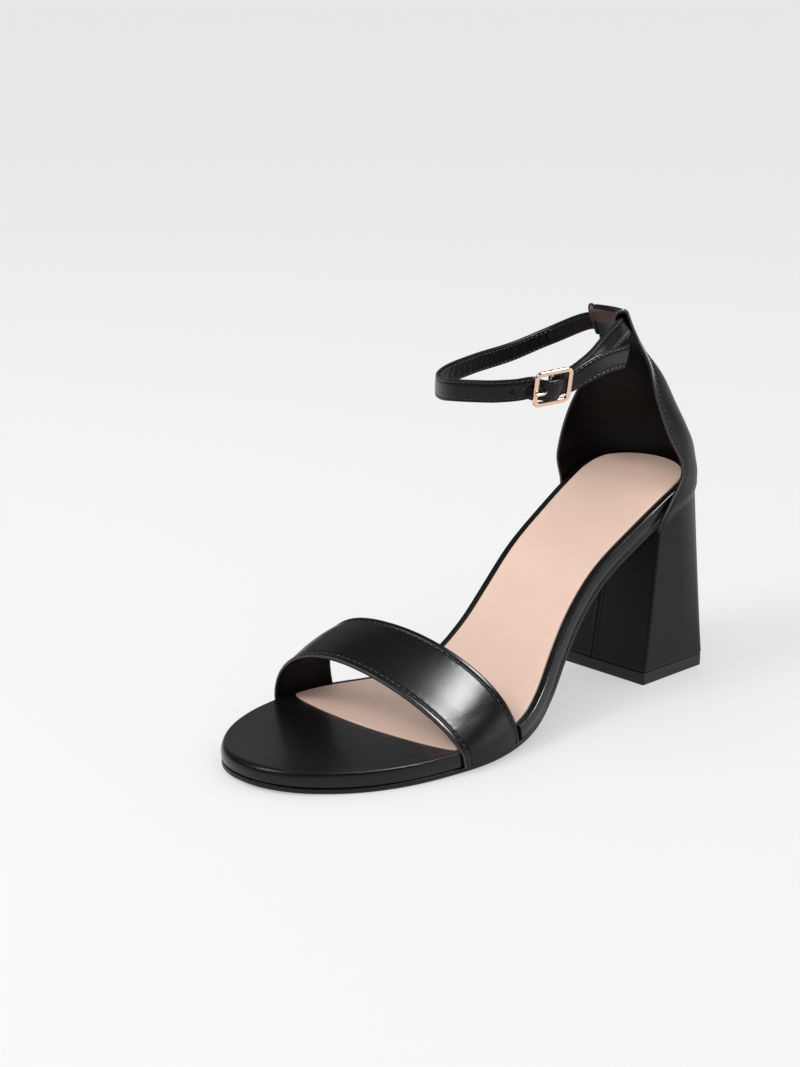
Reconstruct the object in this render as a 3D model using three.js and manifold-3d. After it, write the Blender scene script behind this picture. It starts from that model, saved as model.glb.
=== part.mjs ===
// Closed heel sandal, left shoe: a toe strap, a heel counter with a folded tab, and a buckled ankle
// strap on a leather-wrapped footbed, over a thin outsole and a flared block heel.
// Millimetres, +Z up. While it is modelled, x runs to the outer side and s runs forward from the back
// of the seat (y = -s). At the end the group is moved so that its box stands centred on the origin.
import * as THREE from 'three';
import { ParametricGeometry } from 'three/addons/geometries/ParametricGeometry.js';
import { mergeVertices } from 'three/addons/utils/BufferGeometryUtils.js';
import Module from 'manifold-3d';

const wasm = await Module();
wasm.setup();

// Driving sizes of the sole
const SOLE_LENGTH = 212.6;
const BALL_WIDTH = 84;
const SEAT_WIDTH = 50.4;
const WAIST_WIDTH = 46.2;
const TOE_WIDTH = 64.4;
const TOE_SWING = 13.9;
const SEAT_HEIGHT = 80.8;
const TOE_SPRING = 1.2;
const FOOTBED_THICK = 5.6;
const OUTSOLE_THICK = 2.0;
const SEAT_WEDGE = 0.5;
const SEAT_ROUND = 26;
const TOE_ROUND = 54;
const TOE_POWER = 2.3;
const CLEAR = 0.3;
const SQUARE_START = 20;
const SQUARE_END = 46;
const EDGE_ROUND = 1.5;

// Driving sizes of the insole sock
const SOCK_THICK = 1.2;
const SOCK_PROUD = 0.3;
const SOCK_MARGIN = 3.2;
const SOCK_LENGTH = 159.3;
const SOCK_FRONT_ROUND = 6;
const SOCK_FRONT_RUN = 41;
const SOCK_INNER_FILL = 1.6;
const SOCK_SLANT = 0.045;
const SOCK_SWING = 3.4;

// Driving sizes of the heel
const BREAST_TOP = 37.4;
const HEEL_TREAD_LENGTH = 36.2;
const HEEL_TREAD_WIDTH = 53.4;
const HEEL_TREAD_SPREAD = 3.2;
const HEEL_TREAD_BACK = 4.6;
const HEEL_BOW = 1.6;
const HEEL_CORNER = 2.4;
const HEEL_GROW = 1.6;
const HEEL_TUCK = 0.8;
const TOP_PIECE_THICK = 5;

// Driving sizes of the toe strap
const TOE_STRAP_THICK = 1.6;
const TOE_STRAP_RISE = 33.6;
const TOE_STRAP_LEAN = 13;
const TOE_STRAP_SKEW = 11.7;
const ARCH_START = 6.5;

// Driving sizes of the heel counter
const COUNTER_THICK = 1.5;
const COUNTER_RISE = 67.6;
const COUNTER_BASE = 75.2;
const FLAP_DROP = 11;

// Driving sizes of the ankle strap and its buckle
const ANKLE_STRAP_WIDTH = 8;
const ANKLE_STRAP_THICK = 1.6;
const LOOP_LENGTH = 94;
const LOOP_WIDTH = 58;
const LOOP_FRONT_HEIGHT = 126;
const TUNNEL_PLACE = 28.6;
const TIP_SLANT = 4;
const BUCKLE_LENGTH = 15.6;
const BUCKLE_HEIGHT = 13.8;
const BUCKLE_LIFT = 0.9;
const BUCKLE_PLACE = 101.1;
const BUCKLE_SIDE = 26.2;
const BUCKLE_TURN = 17;
const BUCKLE_RISE = 4;
const BUCKLE_LEAN = 16;
const BUCKLE_BAR = 1.8;
const BUCKLE_THICK = 1.5;
const BUCKLE_CORNER = 2.6;
const CENTRE_BAR = 1.0;
const PRONG = 1.2;

const SOLE_THICK = FOOTBED_THICK + CLEAR + OUTSOLE_THICK;

// Plan of the sole. along: share of the length from the back; shift: share of the toe's swing to the
// outer side; the half width is a share of half a named width.
const PLAN = [
  { along: 0.00, shift: 0.18, of: SEAT_WIDTH, share: 1.020 },
  { along: 0.04, shift: 0.18, of: SEAT_WIDTH, share: 1.020 },
  { along: 0.10, shift: 0.20, of: SEAT_WIDTH, share: 1.005 },
  { along: 0.20, shift: 0.22, of: SEAT_WIDTH, share: 0.970 },
  { along: 0.32, shift: 0.10, of: WAIST_WIDTH, share: 1.000 },
  { along: 0.44, shift: 0.17, of: WAIST_WIDTH, share: 1.070 },
  { along: 0.56, shift: 0.06, of: BALL_WIDTH, share: 0.815 },
  { along: 0.66, shift: -0.45, of: BALL_WIDTH, share: 1.000 },
  { along: 0.76, shift: -0.65, of: BALL_WIDTH, share: 0.985 },
  { along: 0.88, shift: -0.83, of: BALL_WIDTH, share: 0.903 },
  { along: 1.00, shift: -1.00, of: TOE_WIDTH, share: 1.000 },
];

// Side profile of the footbed's top. rise: share of the seat's height above the forefoot; lift: share
// of the toe spring.
const PROFILE = [
  { along: 0.00, rise: 1.000, lift: 0 },
  { along: 0.06, rise: 0.992, lift: 0 },
  { along: 0.12, rise: 0.948, lift: 0 },
  { along: 0.18, rise: 0.873, lift: 0 },
  { along: 0.25, rise: 0.756, lift: 0 },
  { along: 0.32, rise: 0.620, lift: 0 },
  { along: 0.39, rise: 0.441, lift: 0 },
  { along: 0.45, rise: 0.264, lift: 0 },
  { along: 0.50, rise: 0.133, lift: 0 },
  { along: 0.55, rise: 0.056, lift: 0 },
  { along: 0.60, rise: 0.022, lift: 0 },
  { along: 0.66, rise: 0.003, lift: 0 },
  { along: 0.70, rise: 0, lift: 0 },
  { along: 0.86, rise: 0, lift: 0 },
  { along: 0.94, rise: 0, lift: 0.3 },
  { along: 1.00, rise: 0, lift: 1 },
];

// Sections of the heel counter's outer face, each an upright U. level: share of the rise; centre:
// share of the seat's width to the outer side; back: distance forward of the seat's back as a share of
// the rise; wide and deep: shares of the seat's width; outer and inner: how far round the U reaches on
// each side, in quarter turns.
const COUNTER = [
  { level: 0.000, centre: 0.052, back: -0.027, wide: 0.548, deep: 0.560, outer: 1.40, inner: 1.24 },
  { level: 0.130, centre: 0.038, back: -0.028, wide: 0.560, deep: 0.560, outer: 1.01, inner: 1.19 },
  { level: 0.308, centre: 0.004, back: 0.009, wide: 0.538, deep: 0.534, outer: 1.02, inner: 1.05 },
  { level: 0.485, centre: -0.032, back: 0.086, wide: 0.478, deep: 0.490, outer: 1.01, inner: 0.83 },
  { level: 0.663, centre: -0.063, back: 0.175, wide: 0.407, deep: 0.429, outer: 0.88, inner: 0.59 },
  { level: 0.825, centre: -0.079, back: 0.305, wide: 0.317, deep: 0.337, outer: 0.54, inner: 0.43 },
  { level: 0.899, centre: -0.095, back: 0.342, wide: 0.298, deep: 0.298, outer: 0.48, inner: 0.42 },
  { level: 1.000, centre: -0.099, back: 0.405, wide: 0.288, deep: 0.238, outer: 0.51, inner: 0.42 },
];

// The toe strap's two edges, each an arch across the foot. outer and inner: where its ends meet the
// sole, as shares of the length; rise: height above the arch's start, as a share of the highest; full:
// roundness of the arch; side: how long it stays at the side before it turns over; sink: how deep its
// outer end is let into the footbed's side, in thicknesses of the strap.
const TOE_STRAP_FRONT = { outer: 0.7197, inner: 0.7667, rise: 0.756, full: 1.29, side: 1.07, sink: 0.25 };
const TOE_STRAP_BACK = { outer: 0.5828, inner: 0.6425, rise: 1, full: 0.91, side: 0.91, sink: 1.625 };

// The ankle strap from its tip to the buckle. ahead: share of the loop's length forward of the tab;
// aside: share of the loop's width to the outer side; lift: height over the front of the loop as a
// share of the strap's width; lean: degrees by which its upper edge leans towards the ankle.
const TIP_END = [
  { ahead: 0.388, aside: 0.574, lift: 1.22, lean: 10 },
  { ahead: 0.500, aside: 0.559, lift: 1.14, lean: 8 },
  { ahead: 0.569, aside: 0.545, lift: 0.97, lean: 4 },
  { ahead: 0.633, aside: 0.522, lift: 0.70, lean: -4 },
];
// From the buckle round the front to the tab.
const LOOP = [
  { ahead: 0.836, aside: 0.419, lift: 0.38, lean: -8 },
  { ahead: 0.889, aside: 0.352, lift: 0.30, lean: -4 },
  { ahead: 0.941, aside: 0.250, lift: 0.22, lean: 0 },
  { ahead: 0.977, aside: 0.131, lift: 0.17, lean: 0 },
  { ahead: 0.995, aside: 0.004, lift: 0.10, lean: 0 },
  { ahead: 0.969, aside: -0.139, lift: -0.05, lean: 0 },
  { ahead: 0.898, aside: -0.284, lift: -0.10, lean: 2 },
  { ahead: 0.763, aside: -0.411, lift: -0.09, lean: 6 },
  { ahead: 0.552, aside: -0.482, lift: 0.00, lean: 10 },
  { ahead: 0.319, aside: -0.488, lift: 0.18, lean: 12 },
  { ahead: 0.138, aside: -0.418, lift: 0.71, lean: 18 },
];
// From the tab back to the buckle.
const SHORT_END = [
  { ahead: 0.128, aside: 0.155, lift: 1.46, lean: 20 },
  { ahead: 0.279, aside: 0.224, lift: 0.97, lean: 18 },
  { ahead: 0.426, aside: 0.328, lift: 0.78, lean: 8 },
  { ahead: 0.553, aside: 0.400, lift: 0.63, lean: 0 },
];

// Curves through table rows
function naturalSpline(xs, ys) {
  const n = xs.length;
  const m = new Array(n).fill(0);
  const diag = new Array(n).fill(1);
  const rhs = new Array(n).fill(0);
  const upper = new Array(n).fill(0);
  for (let i = 1; i < n - 1; i += 1) {
    const a = xs[i] - xs[i - 1];
    const b = xs[i + 1] - xs[i];
    const w = i > 1 ? a / diag[i - 1] : 0;
    diag[i] = 2 * (a + b) - w * upper[i - 1];
    upper[i] = b;
    rhs[i] = 6 * ((ys[i + 1] - ys[i]) / b - (ys[i] - ys[i - 1]) / a) - w * rhs[i - 1];
  }
  for (let i = n - 2; i > 0; i -= 1) m[i] = (rhs[i] - upper[i] * m[i + 1]) / diag[i];
  return (x) => {
    let i = 0;
    while (i < n - 2 && x > xs[i + 1]) i += 1;
    const h = xs[i + 1] - xs[i];
    const p = (xs[i + 1] - x) / h;
    const q = (x - xs[i]) / h;
    return p * ys[i] + q * ys[i + 1] + ((p ** 3 - p) * m[i] + (q ** 3 - q) * m[i + 1]) * h * h / 6;
  };
}

function monotoneCurve(xs, ys) {
  const n = xs.length;
  const step = xs.slice(1).map((x, i) => x - xs[i]);
  const rate = step.map((h, i) => (ys[i + 1] - ys[i]) / h);
  const slope = ys.map((y, i) => {
    if (i === 0) return rate[0];
    if (i === n - 1) return rate[n - 2];
    if (rate[i - 1] * rate[i] <= 0) return 0;
    const a = 2 * step[i] + step[i - 1];
    const b = step[i] + 2 * step[i - 1];
    return (a + b) / (a / rate[i - 1] + b / rate[i]);
  });
  return (x) => {
    let i = 0;
    while (i < n - 2 && x > xs[i + 1]) i += 1;
    const t = (x - xs[i]) / step[i];
    const near = ys[i] * (1 + 2 * t) * (1 - t) ** 2 + slope[i] * step[i] * t * (1 - t) ** 2;
    return near + ys[i + 1] * t * t * (3 - 2 * t) - slope[i + 1] * step[i] * t * t * (1 - t);
  };
}

function column(rows, key, name, curve) {
  return curve(rows.map((row) => row[key]), rows.map((row) => row[name]));
}

const lerp = (a, b, t) => a + (b - a) * t;
const ease = (t) => t * t * (3 - 2 * t);
const clamp = (t, low, high) => Math.min(high, Math.max(low, t));
const radians = THREE.MathUtils.degToRad;

// The last's own functions: centre line, half width and top profile at a distance s from the back
const shiftShare = column(PLAN, 'along', 'shift', naturalSpline);
const halfTable = naturalSpline(PLAN.map((row) => row.along), PLAN.map((row) => row.of * row.share / 2));
const riseShare = column(PROFILE, 'along', 'rise', monotoneCurve);
const liftShare = column(PROFILE, 'along', 'lift', monotoneCurve);
const centreAt = (s) => TOE_SWING * shiftShare(clamp(s / SOLE_LENGTH, 0, 1));
const halfAt = (s) => halfTable(clamp(s / SOLE_LENGTH, 0, 1));

function topAt(s) {
  const share = clamp(s / SOLE_LENGTH, 0, 1);
  return SOLE_THICK + (SEAT_HEIGHT - SOLE_THICK) * riseShare(share) + TOE_SPRING * liftShare(share);
}

function slopeAt(s) {
  const place = clamp(s, 0.5, SOLE_LENGTH - 0.5);
  return topAt(place + 0.5) - topAt(place - 0.5);
}

// Under the seat the sole's sides stand upright; ahead of it they are square to the footbed
function squareAt(s) {
  return ease(clamp((s - SQUARE_START) / (SQUARE_END - SQUARE_START), 0, 1));
}

// A point on the sole: x across, s along and h above the footbed's top, measured from it
function onSole(x, s, h) {
  const slope = slopeAt(s);
  const norm = Math.hypot(1, slope);
  const back = h * slope / norm * squareAt(s);
  return new THREE.Vector3(x, back - s, topAt(s) + h * lerp(norm, 1 / norm, squareAt(s)));
}

// The outsole thickens towards the back of the seat
function wedgeAt(s) {
  return SEAT_WEDGE * (1 - ease(clamp(s / BREAST_TOP, 0, 1)));
}

// An outline round the sole. turn goes from 0 at the back, up the outer side to pi at the toe and down
// the inner side; inset moves every point inward.
function soleOutline({ start, end, backRound, backPower, toeRound, toePower, inset, swing = 0 }) {
  const point = (turn) => {
    const side = Math.sin(turn) >= 0 ? 1 : -1;
    const s = lerp(start, end, (1 - Math.cos(turn)) / 2);
    const back = clamp(1 - (s - start) / backRound, 0, 1);
    const front = clamp(1 - (end - s) / toeRound, 0, 1);
    const round = (1 - back ** backPower) ** (1 / backPower) * (1 - front ** toePower) ** (1 / toePower);
    const centre = centreAt(s) - swing * clamp(1 - s / 20, 0, 1) ** 1.5;
    return { x: centre + side * Math.max(0, halfAt(s) - inset) * round, s };
  };
  const spineStart = start + Math.min(backRound, (end - start) * 0.4);
  const spineEnd = end - toeRound * 0.75;
  const spine = (turn) => {
    const s = clamp(point(turn).s, spineStart, spineEnd);
    return { x: centreAt(s), s };
  };
  return { point, spine };
}

const FOOTBED_OUTLINE = soleOutline({
  start: 0, end: SOLE_LENGTH, backRound: SEAT_ROUND, backPower: 2, toeRound: TOE_ROUND,
  toePower: TOE_POWER, inset: 0,
});
const OUTSOLE_OUTLINE = soleOutline({
  start: CLEAR, end: SOLE_LENGTH - CLEAR, backRound: SEAT_ROUND - CLEAR, backPower: 2,
  toeRound: TOE_ROUND, toePower: TOE_POWER, inset: CLEAR,
});

// The sock's front edge slants, further forward at the inner side, where the sock also comes closer to
// the footbed's edge
function sockOutline(margin) {
  const plain = soleOutline({
    start: margin, end: SOCK_LENGTH + SOCK_MARGIN - margin, backRound: SEAT_ROUND - margin,
    backPower: 2, toeRound: SOCK_FRONT_ROUND, toePower: 1.7, inset: margin, swing: SOCK_SWING,
  });
  const point = (turn) => {
    const { x, s } = plain.point(turn);
    const late = ease(clamp((s - SOCK_LENGTH) / SOCK_FRONT_RUN + 1, 0, 1));
    const fill = Math.sin(turn) < 0 ? 1 + 2 * SOCK_INNER_FILL / BALL_WIDTH * late : 1;
    const aside = (x - centreAt(s)) * fill;
    return { x: centreAt(s) + aside, s: s - SOCK_SLANT * aside * late };
  };
  return { point, spine: plain.spine };
}

// Closed geometry from a function of two parameters, with its doubled points merged
function closedSurface(point, across, along, flip) {
  const surface = new ParametricGeometry((u, v, target) => {
    target.copy(point(flip ? 1 - u : u, v));
  }, across, along);
  surface.deleteAttribute('normal');
  surface.deleteAttribute('uv');
  const merged = mergeVertices(surface, 1e-3);
  const index = merged.index.array;
  const kept = [];
  for (let i = 0; i < index.length; i += 3) {
    const [a, b, c] = [index[i], index[i + 1], index[i + 2]];
    if (a !== b && b !== c && c !== a) kept.push(a, b, c);
  }
  merged.setIndex(kept);
  return merged;
}

// A slab that follows the sole. Each ring is an inset from the outline and a height over the top, less
// the seat's wedge where it is under the outsole; the first and last rings shrink to the outline's
// spine, which closes the faces.
function soleSlab(outline, rings, around) {
  const last = rings.length - 1;
  return closedSurface((u, v) => {
    const turn = u * 2 * Math.PI;
    const at = v * last;
    const i = Math.min(last - 1, Math.floor(at));
    const t = at - i;
    const edge = outline.point(turn);
    const spine = outline.spine(turn);
    const reach = Math.hypot(spine.x - edge.x, spine.s - edge.s);
    const share = (ring) => (ring.inset === null ? 1 : Math.min(1, ring.inset / Math.max(reach, 1e-6)));
    const inward = lerp(share(rings[i]), share(rings[i + 1]), t);
    const s = lerp(edge.s, spine.s, inward);
    const low = lerp(rings[i].under || 0, rings[i + 1].under || 0, t) * wedgeAt(s);
    const height = lerp(rings[i].height, rings[i + 1].height, t) - low;
    return onSole(lerp(edge.x, spine.x, inward), s, height);
  }, around, last, true);
}

// A sheet of even thickness. face(a, b) is its outer face, a across and b along; its two ends are
// closed by drawing the section together onto its middle line.
function sheet(face, thickness, across, along, flip) {
  const square = (a, b) => {
    const e = 1e-4;
    const da = face(Math.min(1, a + e), b).sub(face(Math.max(0, a - e), b));
    const db = face(a, Math.min(1, b + e)).sub(face(a, Math.max(0, b - e)));
    return da.cross(db).normalize();
  };
  const rows = along + 2;
  return closedSurface((u, v) => {
    const row = Math.round(v * rows);
    const b = clamp((row - 1) / along, 0, 1);
    const turn = Math.round(u * (2 * across + 2)) % (2 * across + 2);
    const outside = turn <= across;
    const a = outside ? turn / across : (2 * across + 1 - turn) / across;
    const outer = face(a, b);
    const deep = row === 0 || row === rows ? thickness / 2 : (outside ? 0 : thickness);
    return outer.addScaledVector(square(a, b), flip ? deep : -deep);
  }, 2 * across + 2, rows, flip);
}

function toManifold(geometry) {
  return new wasm.Manifold(new wasm.Mesh({
    numProp: 3,
    vertProperties: new Float32Array(geometry.attributes.position.array),
    triVerts: new Uint32Array(geometry.index.array),
  }));
}

function toGeometry(solid) {
  const mesh = solid.getMesh();
  const geometry = new THREE.BufferGeometry();
  geometry.setAttribute('position', new THREE.BufferAttribute(new Float32Array(mesh.vertProperties), 3));
  geometry.setIndex(new THREE.BufferAttribute(new Uint32Array(mesh.triVerts), 1));
  return geometry;
}

// Footbed: leather-wrapped, with a rounded rim and a pocket for the sock
function footbedGeometry() {
  const body = soleSlab(FOOTBED_OUTLINE, [
    { inset: null, height: -FOOTBED_THICK },
    { inset: 16, height: -FOOTBED_THICK },
    { inset: 8, height: -FOOTBED_THICK },
    { inset: EDGE_ROUND * 0.8, height: -FOOTBED_THICK },
    { inset: EDGE_ROUND * 0.1, height: EDGE_ROUND * 0.8 - FOOTBED_THICK },
    { inset: EDGE_ROUND * 0.2, height: -EDGE_ROUND * 0.7 },
    { inset: EDGE_ROUND, height: 0 },
    { inset: 8, height: 0 },
    { inset: 16, height: 0 },
    { inset: null, height: 0 },
  ], 72);
  const pocket = soleSlab(sockOutline(SOCK_MARGIN - CLEAR), [
    { inset: null, height: SOCK_PROUD - SOCK_THICK - CLEAR },
    { inset: 14, height: SOCK_PROUD - SOCK_THICK - CLEAR },
    { inset: 7, height: SOCK_PROUD - SOCK_THICK - CLEAR },
    { inset: 0, height: SOCK_PROUD - SOCK_THICK - CLEAR },
    { inset: 0, height: SOCK_THICK },
    { inset: 8, height: 2 * SOCK_THICK },
    { inset: null, height: 3 * SOCK_THICK },
  ], 64);
  const widened = (a, b) => toeStrapFace(lerp(-0.012, 1.012, a), b, CLEAR);
  const notch = toManifold(sheet(widened, TOE_STRAP_THICK + 2 * CLEAR, 4, 36, false));
  return toGeometry(toManifold(body).subtract(toManifold(pocket)).subtract(notch));
}

function outsoleGeometry() {
  const top = -FOOTBED_THICK - CLEAR;
  return soleSlab(OUTSOLE_OUTLINE, [
    { inset: null, height: top - OUTSOLE_THICK, under: 1 },
    { inset: 16, height: top - OUTSOLE_THICK, under: 1 },
    { inset: 8, height: top - OUTSOLE_THICK, under: 1 },
    { inset: OUTSOLE_THICK * 0.3, height: top - OUTSOLE_THICK, under: 1 },
    { inset: 0, height: top - OUTSOLE_THICK * 0.7, under: 0.7 },
    { inset: 0, height: top },
    { inset: 8, height: top },
    { inset: 16, height: top },
    { inset: null, height: top },
  ], 72);
}

function sockGeometry() {
  return soleSlab(sockOutline(SOCK_MARGIN), [
    { inset: null, height: SOCK_PROUD - SOCK_THICK },
    { inset: 14, height: SOCK_PROUD - SOCK_THICK },
    { inset: 7, height: SOCK_PROUD - SOCK_THICK },
    { inset: 0, height: SOCK_PROUD - SOCK_THICK },
    { inset: 0, height: SOCK_PROUD - SOCK_THICK * 0.4 },
    { inset: SOCK_THICK * 0.4, height: SOCK_PROUD },
    { inset: 7, height: SOCK_PROUD },
    { inset: 14, height: SOCK_PROUD },
    { inset: null, height: SOCK_PROUD },
  ], 64);
}

// Heel: round like the seat at its top, nearly square at its foot. t goes from the middle of the back
// round a corner (BACK_PART), along the side (SIDE_PART) and to the middle of the breast.
const BACK_PART = 0.46;
const SIDE_PART = 0.8;

function heelTop(t, side) {
  const quarter = Math.min(1, t / BACK_PART) * Math.PI / 2;
  const forward = clamp((t - BACK_PART) / (SIDE_PART - BACK_PART), 0, 1);
  const s = t < BACK_PART ? lerp(-HEEL_GROW, SEAT_ROUND, 1 - Math.cos(quarter))
    : lerp(SEAT_ROUND, BREAST_TOP, forward);
  const grow = lerp(HEEL_GROW, -HEEL_TUCK, ease(clamp(s / BREAST_TOP, 0, 1)));
  const across = t > SIDE_PART ? 1 - ((t - SIDE_PART) / (1 - SIDE_PART)) ** 1.5 : 1;
  return { x: centreAt(s) + side * (halfAt(s) + grow) * Math.sin(quarter) * across, s };
}

// A point of the heel's top face, close under the outsole
function underSole(x, s) {
  return onSole(x, s, -SOLE_THICK - 1.7 * CLEAR - wedgeAt(s));
}

function heelFoot(t, side) {
  const half = HEEL_TREAD_WIDTH / 2;
  const wide = half + HEEL_TREAD_SPREAD / 2;
  const back = HEEL_TREAD_BACK;
  const front = back + HEEL_TREAD_LENGTH;
  const turn = BACK_PART * 0.4;
  const turned = BACK_PART * 0.7;
  if (t < turn) {
    const u = t / turn;
    return { x: side * (wide - HEEL_CORNER) * u, s: back - HEEL_BOW * (1 - u * u) };
  }
  if (t < turned) {
    const angle = (t - turn) / (turned - turn) * Math.PI / 2;
    const x = side * (wide - HEEL_CORNER * (1 - Math.sin(angle)));
    return { x, s: back + HEEL_CORNER * (1 - Math.cos(angle)) };
  }
  if (t < SIDE_PART) {
    const forward = (t - turned) / (SIDE_PART - turned);
    return { x: side * lerp(wide, half, forward), s: lerp(back + HEEL_CORNER, front, forward) };
  }
  return { x: side * half * (1 - ((t - SIDE_PART) / (1 - SIDE_PART)) ** 1.5), s: front };
}

// A point of the heel's side at a share up from the floor; the flare eases in towards the foot
function heelSide(t, side, up) {
  const foot = heelFoot(t, side);
  const top = heelTop(t, side);
  const base = new THREE.Vector3(foot.x, -foot.s, TOP_PIECE_THICK + CLEAR);
  const end = underSole(top.x, top.s);
  const mix = up ** 0.9;
  return new THREE.Vector3(lerp(base.x, end.x, mix), lerp(base.y, end.y, mix), lerp(base.z, end.z, up));
}

function heelGeometry() {
  const low = SEAT_ROUND * 0.55;
  return closedSurface((u, v) => {
    const side = u <= 0.5 ? 1 : -1;
    const t = side > 0 ? u * 2 : (1 - u) * 2;
    const row = Math.round(v * 7);
    const spine = clamp(heelTop(t, 1).s, low, BREAST_TOP - 5);
    if (row === 0) return new THREE.Vector3(0, -spine, TOP_PIECE_THICK + CLEAR);
    if (row <= 4) return heelSide(t, side, (row - 1) / 3);
    const edge = heelTop(t, side);
    const inward = (row - 4) / 3;
    return underSole(lerp(edge.x, centreAt(spine), inward), lerp(edge.s, spine, inward));
  }, 44, 7, true);
}

function topPieceGeometry() {
  const shape = new THREE.Shape();
  const steps = 22;
  const trim = 0.3;
  for (let i = 0; i < 2 * steps; i += 1) {
    const side = i <= steps ? 1 : -1;
    const t = i <= steps ? i / steps : (2 * steps - i) / steps;
    const p = heelFoot(t, side);
    const x = p.x * (1 - 2 * trim / HEEL_TREAD_WIDTH);
    if (i === 0) shape.moveTo(x, -p.s);
    else shape.lineTo(x, -p.s);
  }
  return new THREE.ExtrudeGeometry(shape, { depth: TOP_PIECE_THICK, bevelEnabled: false });
}

// Toe strap: a band between its two edge arches. a goes from the front edge to the back edge and b
// from the outer end to the inner end.
function toeStrapFace(a, b, push = 0) {
  const mix = (name) => lerp(TOE_STRAP_FRONT[name], TOE_STRAP_BACK[name], a);
  const lean = Math.tan(radians(TOE_STRAP_LEAN));
  const grow = CLEAR + TOE_STRAP_THICK + push;
  const upright = 0.06;
  const angle = clamp((b - upright) / (1 - 2 * upright), 0, 1) * Math.PI;
  const out = Math.sin(angle);
  const along = Math.cos(angle);
  const outerS = mix('outer') * SOLE_LENGTH;
  const innerS = mix('inner') * SOLE_LENGTH;
  const outerX = centreAt(outerS) + halfAt(outerS) + grow - mix('sink') * TOE_STRAP_THICK;
  const innerX = centreAt(innerS) - halfAt(innerS) - grow;
  let z = ARCH_START + mix('rise') * TOE_STRAP_RISE * out ** mix('full');
  if (b < upright) z = lerp(topAt(outerS) - FOOTBED_THICK - 3 * push, ARCH_START, b / upright);
  if (b > 1 - upright) z = lerp(topAt(innerS) - FOOTBED_THICK - 3 * push, ARCH_START, (1 - b) / upright);
  const half = (outerX - innerX) / 2;
  const x = (outerX + innerX) / 2 + half * Math.sign(along) * Math.abs(along) ** mix('side')
    - TOE_STRAP_SKEW * out * out;
  const s = lerp(outerS, innerS, (1 - along) / 2) + lean * (z - ARCH_START);
  return new THREE.Vector3(x, -s, z);
}

// Heel counter: the wall's outer face at a share round the U and a share up the wall
const counterColumn = (name) => column(COUNTER, 'level', name, naturalSpline);
const counterCentre = counterColumn('centre');
const counterBack = counterColumn('back');
const counterWide = counterColumn('wide');
const counterDeep = counterColumn('deep');
const counterOuter = counterColumn('outer');
const counterInner = counterColumn('inner');

// The seat's own outline, grown, at an angle round the back
function roundSeat(angle, grow) {
  const turned = clamp(angle, -Math.PI / 2, Math.PI / 2);
  const past = Math.abs(angle) - Math.abs(turned);
  const s = SEAT_ROUND * (1 - Math.cos(turned)) + SEAT_ROUND * past;
  return {
    x: centreAt(s) + halfAt(s) * Math.sin(turned) + grow * Math.sin(turned),
    s: s - grow * Math.cos(turned),
  };
}

function counterWall(a, up) {
  const quarter = Math.PI / 2;
  const angle = lerp(-counterInner(up), counterOuter(up), a) * quarter;
  const turned = clamp(angle, -quarter, quarter);
  const past = Math.abs(angle) - Math.abs(turned);
  const wide = counterWide(up) * SEAT_WIDTH;
  const deep = counterDeep(up) * SEAT_WIDTH;
  const x = counterCentre(up) * SEAT_WIDTH + wide * Math.sin(turned);
  const s = counterBack(up) * COUNTER_RISE + deep * (1 - Math.cos(turned)) + deep * past;
  const seat = roundSeat(angle, 2 * CLEAR + COUNTER_THICK);
  const free = ease(clamp((up - 0.07) / 0.11, 0, 1));
  const place = Math.max(0, seat.s);
  const drop = onSole(0, place, -SOLE_THICK - wedgeAt(place)).z - COUNTER_BASE;
  const z = COUNTER_BASE + COUNTER_RISE * up + drop * (1 - up) ** 4;
  const held = seat.s - (z - topAt(place)) * slopeAt(place) * squareAt(place);
  return new THREE.Vector3(lerp(seat.x, x, free), -lerp(held, s, free), z);
}

// The tab at the top folds forward over the ankle strap and comes down inside as a flap
const TUNNEL = ANKLE_STRAP_THICK / 2 + 2.5 * CLEAR;
const FOLD = TUNNEL + COUNTER_THICK;
const WALL_PART = 0.7;
const FOLD_PART = 0.86;

function tabFrame(a) {
  const top = counterWall(a, 1);
  const rise = counterWall(a, 1).sub(counterWall(a, 0.97)).normalize();
  const across = counterWall(a + 0.03, 1).sub(counterWall(a - 0.03, 1)).normalize();
  return { top, rise, inward: across.clone().cross(rise).normalize() };
}

function counterFace(a, b) {
  if (b <= WALL_PART) return counterWall(a, b / WALL_PART);
  const { top, rise, inward } = tabFrame(a);
  const turn = Math.min(1, (b - WALL_PART) / (FOLD_PART - WALL_PART)) * Math.PI;
  const drop = Math.max(0, (b - FOLD_PART) / (1 - FOLD_PART));
  const depth = FOLD * (1 - Math.cos(turn)) - (2 * TUNNEL - CLEAR) * ease(clamp(drop * 4 - 3, 0, 1));
  return top.clone()
    .addScaledVector(inward, depth)
    .addScaledVector(rise, FOLD * Math.sin(turn) - FLAP_DROP * drop);
}

// Buckle's own axes, at the outer side of the ankle strap's loop
const BUCKLE_CENTRE = new THREE.Vector3(BUCKLE_SIDE, -BUCKLE_PLACE, LOOP_FRONT_HEIGHT + 2.8);
const BUCKLE_ALONG = new THREE.Vector3(0, 1, 0)
  .applyAxisAngle(new THREE.Vector3(1, 0, 0), radians(BUCKLE_RISE))
  .applyAxisAngle(new THREE.Vector3(0, 0, 1), -radians(BUCKLE_TURN));
const BUCKLE_OUT = new THREE.Vector3(BUCKLE_ALONG.y, -BUCKLE_ALONG.x, 0).normalize()
  .applyAxisAngle(BUCKLE_ALONG, radians(BUCKLE_LEAN));
const BUCKLE_UP = BUCKLE_OUT.clone().cross(BUCKLE_ALONG).normalize();
const FRAME_OFFSET = ANKLE_STRAP_THICK / 2 + CLEAR + BUCKLE_THICK / 2 + 0.3;
const BAR_OFFSET = FRAME_OFFSET - BUCKLE_THICK / 2 - 0.3;
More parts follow.
